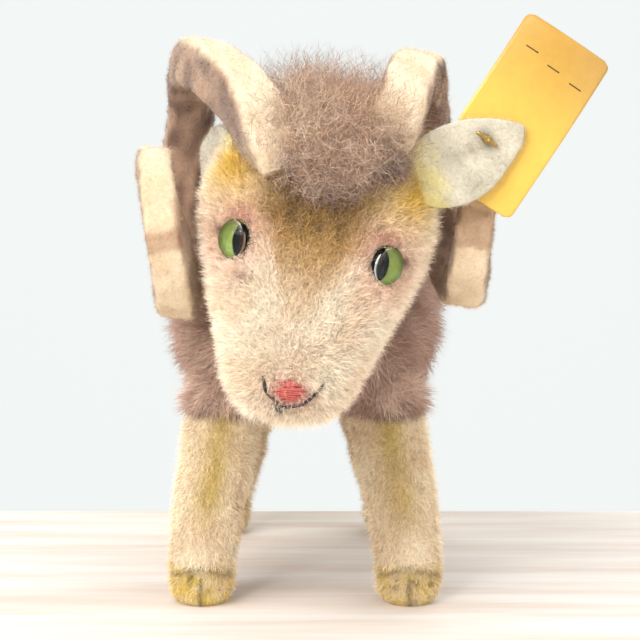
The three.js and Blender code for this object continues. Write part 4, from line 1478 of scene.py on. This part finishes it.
@dataclass
class Stitches:
    """The sewn nose and mouth, and the closing seam under the belly."""

    nose_half_width: float = 2.9
    nose_half_height: float = 1.8
    mouth: tuple[tuple[float, float], ...] = (
        (-4.8, 54.4), (-3.4, 51.4), (-0.4, 49.2), (3.2, 49.8), (5.8, 52.6), (7.0, 54.8),
    )
    thread_radius: float = 0.34
    lift: float = 1.0
    seam_from_y: float = -12.0
    seam_to_y: float = 24.0
    seam_stitches: int = 10

    def on_face(self, head: Head, places: np.ndarray, lift: float) -> np.ndarray:
        """Places given as x and z, lifted off the face and turned with the head."""
        y = head.face_y(places[:, 0], places[:, 1]) - lift
        return TURN.turned(np.stack([places[:, 0], y, places[:, 1]], axis=-1))

    def build(self, head: Head, torso: Torso) -> list[bpy.types.Object]:
        """Sews the nose, the mouth and the seam.

        Args:
            head: The head.
            torso: The torso.

        Returns:
            The pieces.
        """
        rng = np.random.default_rng(81)
        nose = []
        for up in np.linspace(-1.0, 1.0, 9):
            half = self.nose_half_width * math.sqrt(max(0.08, 1.0 - up * up * 0.9))
            across = np.linspace(-1.0, 1.0, 9)
            x = head.nose_x + half * across + rng.normal() * 0.15
            z = head.nose_z + self.nose_half_height * up + 0.25 * across * rng.normal()
            arch = 0.5 + 0.35 * (1.0 - across**2)
            y = head.face_y(x, z) - arch
            nose.append(tube(TURN.turned(np.stack([x, y, z], axis=-1)), 0.26, 6))
        red = ThreadFinish("nose_stitches_thread", (206, 98, 90))
        pieces = [self.sewn("nose_stitches", nose, red, "head", "nose_thread", "nose_stitching")]
        flat = through(list(self.mouth), 40)
        wander = 0.12 * np.sin(np.linspace(0.0, 26.0, 40))
        main = self.on_face(head, flat + wander[:, None] * np.array([0.6, 1.0]), self.lift)
        knot = np.stack([np.full(6, -0.6) + np.linspace(0, 0.5, 6), np.linspace(49.2, 47.4, 6)], axis=-1)
        drop = self.on_face(head, knot, self.lift + 0.1)
        beside = self.on_face(head, knot * [1.0, 1.0] + [-0.7, 0.1], self.lift)
        mouth = [tube(main, self.thread_radius), tube(drop, 0.4), tube(beside, 0.34)]
        black = ThreadFinish("mouth_stitches_thread", (30, 26, 28))
        pieces.append(self.sewn("mouth_stitches", mouth, black, "head", "mouth_thread", "mouth_stitching"))
        bottom = torso.middle_z - torso.half_height - 0.8
        stops = []
        for stitch in range(self.seam_stitches + 1):
            y = mix(self.seam_from_y, self.seam_to_y, stitch / self.seam_stitches)
            stops.append((1.4 if stitch % 2 == 0 else -1.4, y, bottom))
        seam = [tube(through(stops, 120), 0.4)]
        brown = ThreadFinish("belly_stitches_thread", (88, 62, 50))
        pieces.append(self.sewn("belly_stitches", seam, brown, "body", "seam_thread", "belly_seam_thread"))
        return pieces

    @staticmethod
    def sewn(
        name: str, threads: list[np.ndarray], finish: ThreadFinish, body: str, slot: str, node: str
    ) -> bpy.types.Object:
        """Writes threads as one piece.

        Args:
            name: The piece's name.
            threads: Rings of each thread.
            finish: The thread's finish.
            body: The CAD body it rides on.
            slot: The record's material slot; not used.
            node: The CAD node it stands for.

        Returns:
            The piece.
        """
        points, faces = merged(threads)
        piece = mesh_piece(name, points, faces)
        dress(piece, finish.material(), body)
        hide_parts(node)
        return piece


# ---------------------------------------------------------------- horns and ears


@dataclass
class Horn:
    """A strap of stuffed felt that leaves the brow, arches back and curls forward beside the cheek."""

    side: Side
    middle_y: float
    middle_z: float
    top_radius: float
    forward: float
    sideways: tuple[float, ...]
    stripe: tuple[float, float]  # degrees of the curl between which the outer face is brown
    growth: float
    base_half_width: float = 5.4
    tip_half_width: float = 3.2
    base_thickness: float = 10.4
    tip_thickness: float = 7.4
    section_power: float = 5.0
    start_deg: float = 23.0  # where the strap comes out of the crown's hair
    end_deg: float = 462.0
    depth_share: float = 0.82
    stop_deg: float = 45.0
    end_rounding: float = 0.72
    rounded_share: float = 0.03

    def frame(self, along: np.ndarray) -> tuple[np.ndarray, np.ndarray, np.ndarray]:
        """The strap's middle, its way out of the curl and its thickness.

        Args:
            along: Shares of its length.

        Returns:
            The middles, the ways out and the thicknesses.
        """
        degrees = mix(self.start_deg, self.end_deg, along)
        angle = np.radians(degrees)
        thickness = mix(self.base_thickness, self.tip_thickness, along)
        radius = self.top_radius - self.growth * np.maximum(0.0, degrees - 90.0) / 360.0 - thickness / 2.0
        outward = np.stack([0.0 * angle, -np.cos(angle) * self.depth_share, np.sin(angle)], axis=-1)
        stops = np.array([self.sideways[0], *self.sideways, self.sideways[-1]])
        reach = np.clip(degrees / self.stop_deg, 0.0, len(self.sideways) - 1 - 1e-6)
        place = reach.astype(int)
        a, b, c, d = (stops[place + k] for k in range(4))
        x = self.side.value * between(a, b, c, d, reach - place)
        y = self.middle_y - self.forward * along
        centre = np.stack([x, y, np.full(len(along), self.middle_z)], axis=-1) + outward * radius[:, None]
        return centre, unit(outward), thickness

    def rings(self, rows: int, around: int) -> tuple[np.ndarray, np.ndarray, np.ndarray]:
        """The strap's rings, on the straight head.

        Args:
            rows: How many rings.
            around: Points in one ring.

        Returns:
            The rings, and for each point its share of the length and its angle round the strap.
        """
        even = np.linspace(0.0, 1.0, rows)
        close = 0.004 * even[:6] / even[6]
        along = np.sort(np.concatenate([close, even[1:-1], 1.0 - close[::-1]]))
        centre, outward, thickness = self.frame(along)
        ahead = unit(self.frame(along + 0.002)[0] - self.frame(along - 0.002)[0])
        across = unit(np.cross(ahead, outward))
        outward = unit(np.cross(across, ahead))
        turn = np.linspace(0.0, 2.0 * math.pi, around, endpoint=False)
        from_end = np.minimum(along, 1.0 - along)
        rounding = mix(self.end_rounding, 1.0, smooth(from_end, 0.0, self.rounded_share))
        rounding = rounding * mix(0.9, 1.0, smooth(from_end, 0.0, 0.006))
        half_width = mix(self.base_half_width, self.tip_half_width, along)
        wide = squared(np.cos(turn), self.section_power)[None] * (half_width * rounding)[:, None]
        deep = squared(np.sin(turn), self.section_power)[None] * (thickness / 2.0 * rounding)[:, None]
        rings = centre[:, None] + across[:, None] * wide[..., None] + outward[:, None] * deep[..., None]
        shares = np.broadcast_to(along[:, None], wide.shape)
        return rings, shares, np.broadcast_to(turn[None], wide.shape)

    def tint(self, places: np.ndarray, along: np.ndarray, turn: np.ndarray) -> np.ndarray:
        """Cream on the outer face, soft brown on the sides and within the curl.

        Args:
            places: Places on the strap.
            along: Each place's share of the length.
            turn: Each place's angle round the strap.

        Returns:
            A colour for each place.
        """
        degrees = mix(self.start_deg, self.end_deg, along)
        lateral = np.cos(turn) * self.side.value
        facing = np.sin(turn)
        rough = 0.22 * ripple(places, 5.0, 91) + 0.16 * ripple(places, 2.2, 92)
        clouds = smooth(ripple(places, 6.0, 93), -1.2, 1.2)[:, None]
        colour = mix(linear(222, 198, 164), linear(238, 218, 188), clouds)
        coil = smooth(degrees, 300.0, 370.0) * (1.0 - smooth(degrees, 372.0, 420.0))
        colour = mix(colour, linear(216, 184, 146), 0.5 * (coil * (0.5 + 0.5 * clouds[:, 0]))[:, None])
        beside = smooth(np.abs(lateral) - np.maximum(0.0, facing) * 0.9 + rough, -0.3, 0.7)
        within = smooth(-facing + rough, 0.1, 0.7)
        first = 1.0 - smooth(degrees, 150.0, 260.0)
        deep = smooth(ripple(places, 4.0, 94), -0.8, 0.9)[:, None]
        tan = mix(linear(168, 136, 112), linear(118, 90, 74), deep)
        brown = np.maximum(beside * mix(0.72, 0.95, first), within)
        brown = brown * smooth(along, 0.0, 0.05)
        colour = mix(colour, tan, np.clip(brown, 0.0, 1.0)[:, None])
        low, high = self.stripe
        ring = smooth(degrees + 5.0 * rough, low - 2.5, low + 2.5)
        ring = ring * (1.0 - smooth(degrees - 5.0 * rough, high - 2.5, high + 2.5))
        colour = mix(colour, linear(160, 118, 86), 0.6 * (ring * smooth(facing, 0.1, 0.5))[:, None])
        tip = 1.0 - smooth(along, 0.012, 0.06)
        fleck = tip * smooth(ripple(places, 1.6, 95), 0.5, 1.0)
        return mix(colour, linear(150, 100, 70), 0.4 * fleck[:, None])

    def build(self) -> list[bpy.types.Object]:
        """Makes the felt strap and the lint on it.

        Returns:
            The pieces.
        """
        name = f"{self.side.word}_horn"
        rings, shares, turns = self.rings(220, 48)
        along = np.concatenate([shares.ravel(), [0.0, 1.0]])
        turn = np.concatenate([turns.ravel(), [math.pi / 2.0, math.pi / 2.0]])
        points, faces = capped(rings)
        tint = self.tint(points, along, turn)
        lumpy = points + Skin.from_faces(points, faces).outward * (
            0.16 * ripple(points, 5.0, 96) + 0.07 * ripple(points, 1.9, 97)
        )[:, None]
        felt = mesh_piece(f"{name}_strap", TURN.turned(lumpy), faces, tint)
        dress(felt, FeltFinish(f"{name}_wool").material(), "head")
        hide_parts(f"{name}_felt")
        finish = PileFinish(f"{name}_fuzz", root=0.95, tip=1.12)
        skin = Skin.from_faces(lumpy, faces)
        lint = Pile(length=0.75, width=0.06, lean=1.1, spread=0.9, curl=0.22, turns=1.0, tuft=0.5, bends=3)
        seeds = (98 + self.side.value, 99)
        return [felt, *linted(f"{name}_lint", skin, lint, 21_000, seeds, tint, finish)]


@dataclass
class Nearest:
    """Reads colours off the nearest point of a form."""

    points: np.ndarray
    shades: np.ndarray

    def colour(self, places: np.ndarray) -> np.ndarray:
        """The form's colour at each place."""
        tree = KDTree(len(self.points))
        for index, point in enumerate(self.points):
            tree.insert(Vector(point), index)
        tree.balance()
        return self.shades[[tree.find(Vector(place))[1] for place in places]]


def linted(
    name: str,
    skin: Skin,
    lint: Pile,
    count: int,
    seeds: tuple[int, int],
    tint: np.ndarray,
    finish: PileFinish,
) -> list[bpy.types.Object]:
    """Grows felt's lint, which lies every way, in the colours of the felt, and turns it with the head.

    Args:
        name: The piece's name.
        skin: The felt's skin.
        lint: How the lint grows.
        count: How many strands.
        seeds: Pick the chance, and the way the lint lies.
        tint: The felt's colour at each point of the skin.
        finish: The lint's finish.

    Returns:
        The pieces.
    """
    chance, way = seeds
    pieces = plant(
        name, skin, lint, count, chance, np.ones(len(skin.points)),
        lambda places: unit(ripples(places, 2.4, way) + 1e-6), level(1.0),
        Nearest(skin.points, tint).colour, finish.material(), "head",
    )
    for piece in pieces:
        turn_piece(piece)
    return pieces


@dataclass
class Ear:
    """A leaf of thick felt, sewn on by its narrow end."""

    side: Side
    x: float
    y: float
    z: float
    rise_deg: float
    sweep_deg: float
    thickness: float = 1.8
    root_half_width: float = 5.5
    half_width: float = 8.0
    tip: tuple[float, float] = (23.8, 2.4)
    blunt: tuple[float, float] = (22.0, -1.4)  # where the lower edge turns up to the tip
    turn: tuple[float, float] = (17.2, -5.1)

    def edge(self, share: np.ndarray, upper: bool) -> np.ndarray:
        """One long edge of the leaf, from the root to the tip.

        Args:
            share: Shares of the edge's length.
            upper: The upper edge rather than the lower.

        Returns:
            Places in the leaf's own plane.
        """
        if upper:
            return bezier([(0.0, self.root_half_width), (11.0, 10.6), (19.5, 5.8), self.tip], share)
        belly = [(0.0, -self.root_half_width), (4.0, -9.0), (11.5, -9.6), self.turn]
        low = bezier(belly, np.clip(share / 0.7, 0.0, 1.0))
        high = bezier([self.turn, (20.2, -2.9), self.blunt], np.clip((share - 0.7) / 0.18, 0.0, 1.0))
        end = bezier([self.blunt, (23.4, 0.2), self.tip], np.clip((share - 0.88) / 0.12, 0.0, 1.0))
        return np.where((share < 0.7)[:, None], low, np.where((share < 0.88)[:, None], high, end))

    def rings(self, rows: int, around: int) -> tuple[np.ndarray, np.ndarray]:
        """Rings across the leaf from its root to its tip, before it is put in place.

        Args:
            rows: How many rings.
            around: Points in one ring.

        Returns:
            The rings, and each point's place in the leaf's plane.
        """
        share = 1.0 - (1.0 - np.linspace(0.0, 0.998, rows)) ** 1.25
        low, high = self.edge(share, False), self.edge(share, True)
        turn = np.linspace(0.0, 2.0 * math.pi, around, endpoint=False)
        across = 0.5 + 0.5 * squared(np.cos(turn), 2.6)
        flat = low[:, None] + (high - low)[:, None] * across[None, :, None]
        ends = dome(2.0 * share - 1.0, 9.0)
        thick = squared(np.sin(turn), 3.4)[None] * (self.thickness / 2.0 * (0.25 + 0.75 * ends))[:, None]
        cup = 0.7 * ((flat[..., 1] / self.half_width) ** 2 - 0.4) * smooth(flat[..., 0], 2.0, 9.0)
        pinch = 0.9 * near(flat[..., 1], 0.6, 1.1) * near(flat[..., 0], 12.0, 5.5)
        y = thick - cup + pinch
        return np.stack([flat[..., 0], y, flat[..., 1]], axis=-1), flat

    def placed(self, places: np.ndarray) -> np.ndarray:
        """Puts the leaf on its side of the straight head."""
        x, z = leaned(places[..., 0], places[..., 2], -self.rise_deg)
        x, y = leaned(x, places[..., 1], -self.sweep_deg)
        turned = np.stack([x, y, z], axis=-1)
        return (turned + [self.x, self.y, self.z]) * [self.side.value, 1.0, 1.0]

    def tint(self, flat: np.ndarray, places: np.ndarray) -> np.ndarray:
        """Grey cream felt, yellow at the root, with painted shade in the slit where the tag is pinned and in
        the dimple beside it.
        """
        clouds = smooth(ripple(places, 6.0, 111), -1.2, 1.2)[:, None]
        colour = mix(linear(196, 188, 168), linear(216, 208, 188), clouds)
        base = 1.0 - smooth(flat[:, 0] + 1.2 * ripple(places, 4.0, 112), 1.0, 7.5)
        colour = mix(colour, linear(232, 214, 116), 0.6 * base[:, None])
        # painted shade in the slit that the rivet passes through and in the pinched dimple, on the left ear
        # only
        slit = near(flat[:, 0], 16.1, 0.9) * near(flat[:, 1], 2.4, 1.5)
        dimple_shade = near(flat[:, 0], 12.7, 0.8) * near(flat[:, 1], 1.2, 1.3)
        dark = np.clip((0.85 * slit + 0.3 * dimple_shade) * (1.0 if self.side is Side.LEFT else 0.0), 0.0, 1.0)
        return mix(colour, linear(84, 78, 70), dark[:, None])

    def build(self) -> list[bpy.types.Object]:
        """Makes the leaf and its lint.

        Returns:
            The pieces.
        """
        name = f"{self.side.word}_ear"
        rings, flat = self.rings(48, 56)
        rings = self.placed(rings)
        points, faces = capped(rings if self.side is Side.RIGHT else rings[:, ::-1])
        order = flat if self.side is Side.RIGHT else flat[:, ::-1]
        plane = np.concatenate([order.reshape(-1, 2), flat[0].mean(0)[None], flat[-1].mean(0)[None]])
        tint = self.tint(plane, points)
        leaf = mesh_piece(f"{name}_leaf", TURN.turned(points), faces, tint)
        dress(leaf, FeltFinish(f"{name}_wool").material(), "head")
        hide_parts(name)
        finish = PileFinish(f"{name}_fuzz", root=0.95, tip=1.1)
        skin = Skin.from_faces(points, faces)
        lint = Pile(length=0.7, width=0.055, lean=1.0, spread=0.9, curl=0.2, turns=1.0, tuft=0.5, bends=3)
        seeds = (120 + self.side.value, 121)
        return [leaf, *linted(f"{name}_lint", skin, lint, 6_500, seeds, tint, finish)]


def bezier(stops: list[tuple[float, float]], share: np.ndarray) -> np.ndarray:
    """Places on a Bezier curve of any number of stops."""
    last = len(stops) - 1
    total = np.zeros((len(share), 2))
    for index, stop in enumerate(stops):
        weight = math.comb(last, index) * share**index * (1.0 - share) ** (last - index)
        total += weight[:, None] * np.array(stop)
    return total


# ---------------------------------------------------------------- tag


@dataclass
class Tag:
    """A bowed yellow card pinned behind the left ear by a small brass rivet."""

    width: float = 19.6
    length: float = 36.6
    thickness: float = 0.45
    play: float = 0.05  # room between the card and its place behind the ear
    prong_deg: float = 25.0
    pin_x: float = 30.2
    pin_z: float = 105.8
    from_end: float = 11.0
    aside: float = -3.0
    corner: float = 1.5
    bow: float = 5.0
    cup: float = 2.4
    lean_deg: float = 23.6
    front_y: float = -56.1

    def placed(self, across: np.ndarray, up: np.ndarray, depth: np.ndarray) -> np.ndarray:
        """Places on the card, bowed, leaned over and put behind the ear."""
        high = self.length - self.from_end
        x = across - self.aside
        bulge = self.cup * (1.0 - (2.0 * across / self.width) ** 2)
        y = depth + (self.bow - bulge) * (np.maximum(0.0, up) / high) ** 2
        x, z = leaned(x, up, self.lean_deg)
        return TURN.turned(np.stack([x, y, z], axis=-1) + [self.pin_x, self.front_y, self.pin_z])

    def build(self) -> list[bpy.types.Object]:
        """Makes the card and the rivet.

        Returns:
            The pieces.
        """
        rows, columns = 60, 32
        across, up = np.meshgrid(np.linspace(-1.0, 1.0, columns), np.linspace(0.0, 1.0, rows), indexing="xy")
        low, high = -self.from_end, self.length - self.from_end
        height = mix(low, high, up)
        from_edge = np.minimum(height - low, high - height)
        round_off = self.corner - np.sqrt(
            np.maximum(0.0, self.corner**2 - np.maximum(0.0, self.corner - from_edge) ** 2)
        )
        half = self.width / 2.0 - round_off
        front = self.placed(across * half, height, np.full(across.shape, self.play))
        back = self.placed(across * half, height, np.full(across.shape, self.play + self.thickness))
        rings = np.concatenate([front, back[:, ::-1]], axis=1)
        points, faces = capped(rings)
        share = np.concatenate([up, up[:, ::-1]], axis=1).ravel()
        share = np.concatenate([share, [0.0, 1.0]])
        shine = mix(linear(228, 186, 80), linear(190, 144, 56), smooth(share, 0.3, 1.0)[:, None])
        card = mesh_piece("tag_card", points, faces, shine)
        dress(card, CardFinish().material(), "tag")
        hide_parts("tag")
        return [card, *self.rules(), self.rivet()]

    def rules(self) -> list[bpy.types.Object]:
        """Three short printed rules across the card."""
        marks = []
        for x, z in ((-5.2, 19.6), (0.4, 18.6), (6.0, 18.0)):
            line = np.linspace(-1.4, 1.4, 6)
            rings = []
            for up in (-0.14, 0.14):
                rings.append(self.placed(x + line, np.full(6, z + up), np.full(6, 0.02)))
            for up in (0.14, -0.14):
                rings.append(self.placed(x + line, np.full(6, z + up), np.full(6, 0.12)))
            marks.append(np.stack(rings, axis=1))
        points, faces = merged(marks)
        printed = mesh_piece("tag_rules", points, faces)
        dress(printed, PlainFinish("rule_ink", (96, 74, 34)).material(), "tag")
        return [printed]

    def at_pin(self, x: np.ndarray, y: np.ndarray, z: np.ndarray) -> np.ndarray:
        """Places given from the pin, on the straight head."""
        return np.stack([x + self.pin_x, y + self.front_y, z + self.pin_z], axis=-1)

    def rivet(self) -> bpy.types.Object:
        """A domed brass head behind the card, its shank, and two prongs bent over the felt."""
        turn = np.linspace(0.0, 2.0 * math.pi, 32, endpoint=False)
        shank = [(0.2, -2.9), (0.85, -2.8), (0.85, 0.7)]
        head = [(2.5, 0.75), (2.55, 0.95), (2.3, 1.25), (1.5, 1.5), (0.3, 1.55)]
        rings = []
        for radius, depth in shank + head:
            x, z = radius * np.cos(turn), radius * np.sin(turn)
            rings.append(self.at_pin(x, np.full(len(turn), depth), z))
        forms = [TURN.turned(np.array(rings))]
        for way in (1.0, -1.0):
            out = np.linspace(0.0, 2.5, 10)
            x, z = leaned(way * out, 0.0 * out, self.prong_deg)
            y = -2.75 + 0.12 * (out / 2.5) ** 2 - 0.15 * np.sin(out / 2.5 * math.pi)
            route = self.at_pin(x, y, z)
            prong = tube(route, 0.42, 10)
            forms.append(TURN.turned(route[:, None] + (prong - route[:, None]) * [1.0, 0.45, 1.0]))
        points, faces = merged(forms)
        rivet = mesh_piece("ear_rivet", points, faces)
        dress(rivet, MetalFinish("rivet_brass", (176, 146, 84)).material(), "head")
        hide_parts("tag_rivet")
        return rivet


# ---------------------------------------------------------------- what lies inside


@dataclass(frozen=True)
class Hidden:
    """Finishes for the fixed inner pieces that are carried over as they are."""

    wool: PlainFinish = PlainFinish("wood_wool", (196, 164, 112), 900.0)
    board: PlainFinish = PlainFinish("neck_board", (150, 120, 84), 700.0)
    wire: MetalFinish = MetalFinish("leg_wire_steel", (150, 150, 148))

    def dress(self) -> None:
        """Gives every inner node its finish."""
        wool, board, wire = self.wool.material(), self.board.material(), self.wire.material()
        for name, node in sorted(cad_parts.items()):
            finish = None
            if "stuffing" in name or "core" in name:
                finish = wool
            elif "disc" in name:
                finish = board
            elif any(word in name for word in ("wire", "washer", "pin", "shank")):
                finish = wire
            if finish is not None:
                node.data.materials.clear()
                node.data.materials.append(finish)
                LOG.info("%s: %s", name, finish.name)


# ---------------------------------------------------------------- studio


@dataclass
class Studio:
    """A pale table against a paler wall, under plain soft light."""

    camera_x: float = 3.2
    camera_y: float = -465.0
    camera_z: float = 114.4
    camera_down_deg: float = 7.04
    lens: float = 115.9
    table_back_y: float = 58.0
    wall_y: float = 1600.0
    wall_glow: float = 0.3  # light thrown on the wall by lamps out of sight

    def floor(self) -> None:
        """Makes the table top and the wall behind it."""
        made, principled = shader("pale_table", 0.75)
        place = add_node(made, "ShaderNodeTexCoord")
        stretch = add_node(made, "ShaderNodeMapping")
        stretch.inputs["Scale"].default_value = (2.0, 22.0, 2.0)
        grain = add_node(made, "ShaderNodeTexNoise", Scale=4.0, Detail=5.0, Roughness=0.6)
        ramp = add_node(made, "ShaderNodeMix", data_type="RGBA")
        ramp.inputs[6].default_value = (*linear(214, 198, 184), 1.0)
        ramp.inputs[7].default_value = (*linear(232, 224, 216), 1.0)
        spread = add_node(made, "ShaderNodeMapRange", From_Min=0.35, From_Max=0.6)
        join(made, place.outputs["Object"], stretch.inputs["Vector"])
        join(made, stretch.outputs["Vector"], grain.inputs["Vector"])
        join(made, grain.outputs["Fac"], spread.inputs["Value"])
        join(made, spread.outputs["Result"], ramp.inputs[0])
        join(made, ramp.outputs[2], principled.inputs["Base Color"])
        self.slab("table_top", (-900.0, -700.0, -20.0), (900.0, self.table_back_y, 0.0), made)
        wall, paint = shader("pale_wall", 0.95)
        paint.inputs["Base Color"].default_value = (*linear(238, 242, 240), 1.0)
        paint.inputs["Emission Color"].default_value = (1.0, 0.96, 0.91, 1.0)
        paint.inputs["Emission Strength"].default_value = self.wall_glow
        reach = 2.0 * self.wall_y
        self.slab("wall", (-reach, self.wall_y, -reach), (reach, self.wall_y + 20.0, reach), wall)

    @staticmethod
    def slab(name: str, low: tuple, high: tuple, material: bpy.types.Material) -> None:
        """Makes one slab of the stage."""
        x, y, z = np.meshgrid(*zip(low, high), indexing="ij")
        points = np.stack([x.ravel(), y.ravel(), z.ravel()], axis=-1)
        ends = [[0, 1, 3, 2], [4, 6, 7, 5]]
        sides = [[0, 4, 5, 1], [2, 3, 7, 6], [0, 2, 6, 4], [1, 5, 7, 3]]
        quads = np.array(ends + sides)
        piece = mesh_piece(name, points, [quads])
        piece.data.polygons.foreach_set("use_smooth", np.zeros(6, bool))
        piece.data.materials.append(material)

    def light(self) -> None:
        """Hangs the soft lights and fills the room with pale light."""
        world = bpy.data.worlds.new("room")
        bpy.context.scene.world = world
        world.use_nodes = True
        world.node_tree.nodes["Background"].inputs["Color"].default_value = (0.93, 0.97, 1.0, 1.0)
        world.node_tree.nodes["Background"].inputs["Strength"].default_value = 0.66
        self.lamp("key", (-260.0, -330.0, 420.0), 0.42, 3.0, (1.0, 0.98, 0.95))
        self.lamp("fill", (420.0, -260.0, 240.0), 0.6, 1.5, (0.96, 0.98, 1.0))
        self.lamp("back", (60.0, 330.0, 430.0), 0.6, 1.3, (1.0, 1.0, 1.0))
        self.lamp("spark", (-150.0, -380.0, 330.0), 0.05, 0.35, (1.0, 1.0, 1.0))

    @staticmethod
    def lamp(name: str, place: tuple, size: float, power: float, colour: tuple) -> None:
        """Hangs one soft square light that looks at the toy."""
        data = bpy.data.lights.new(name, "AREA")
        data.size, data.energy, data.color = size, power, colour
        lamp = bpy.data.objects.new(name, data)
        bpy.context.scene.collection.objects.link(lamp)
        lamp.location = Vector(TOY.world(np.array(place)))
        aim = Vector(TOY.world(np.array([0.0, -30.0, 60.0]))) - lamp.location
        lamp.rotation_euler = aim.to_track_quat("-Z", "Y").to_euler()

    def camera(self) -> None:
        """Sets the camera up in front of the toy."""
        data = bpy.data.cameras.new("camera")
        data.lens, data.sensor_width = self.lens, 36.0
        data.clip_start, data.clip_end = 0.01, 10.0
        camera = bpy.data.objects.new("camera", data)
        bpy.context.scene.collection.objects.link(camera)
        camera.location = Vector(TOY.world(np.array([self.camera_x, self.camera_y, self.camera_z])))
        camera.rotation_euler = (math.radians(90.0 - self.camera_down_deg), 0.0, 0.0)
        bpy.context.scene.camera = camera

    def build(self) -> None:
        """Sets up the stage, the lights and the camera."""
        self.camera()
        self.floor()
        self.light()
        scene = bpy.context.scene
        scene.view_settings.view_transform = "Standard"


def legs() -> list[Leg]:
    """The four legs."""
    made = []
    for side in Side:
        made.append(Leg("front", side, -30.0, FRONT_STATIONS))
        made.append(Leg("rear", side, 36.0, REAR_STATIONS))
    return made


def horns() -> list[Horn]:
    """The two horns, each curled by hand in its own way."""
    left = Horn(
        Side.LEFT, middle_y=-38.0, middle_z=90.0, top_radius=30.6, forward=4.0, growth=22.6,
        sideways=(11.4, 12.6, 15.0, 18.4, 24.0, 29.4, 32.4, 31.7, 31.3, 31.0, 30.8, 30.8),
        stripe=(331.5, 363.0),
    )
    right = Horn(
        Side.RIGHT, middle_y=-41.0, middle_z=81.0, top_radius=34.4, forward=6.0, growth=23.8,
        sideways=(3.8, 14.6, 29.2, 30.6, 30.2, 28.0, 25.4, 26.9, 31.0, 33.8, 34.8, 35.0),
        stripe=(331.0, 344.0),
    )
    return [left, right]


def main() -> None:
    """Makes the toy, piece by piece, and the studio round it."""
    logging.basicConfig(level=logging.INFO, format="%(name)s: %(message)s", stream=sys.stdout)
    torso, head = Torso(), Head()
    pieces = torso.build() + Tail().build(torso)
    for leg in legs():
        pieces += leg.build()
    pieces += head.build()
    for side in Side:
        pieces += Eye(side).build(head)
    pieces += Stitches().build(head, torso)
    for horn in horns():
        pieces += horn.build()
    pieces += Ear(Side.LEFT, 17.4, -57.3, 95.7, 30.0, 0.0).build()
    pieces += Ear(Side.RIGHT, 19.2, -55.8, 91.2, 0.0, 72.0).build()
    pieces += Tag().build()
    Hidden().dress()
    Studio().build()
    LOG.info("%d pieces, %d faces", len(pieces), sum(len(piece.data.polygons) for piece in pieces))
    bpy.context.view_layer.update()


if __name__ == "__main__":
    main()
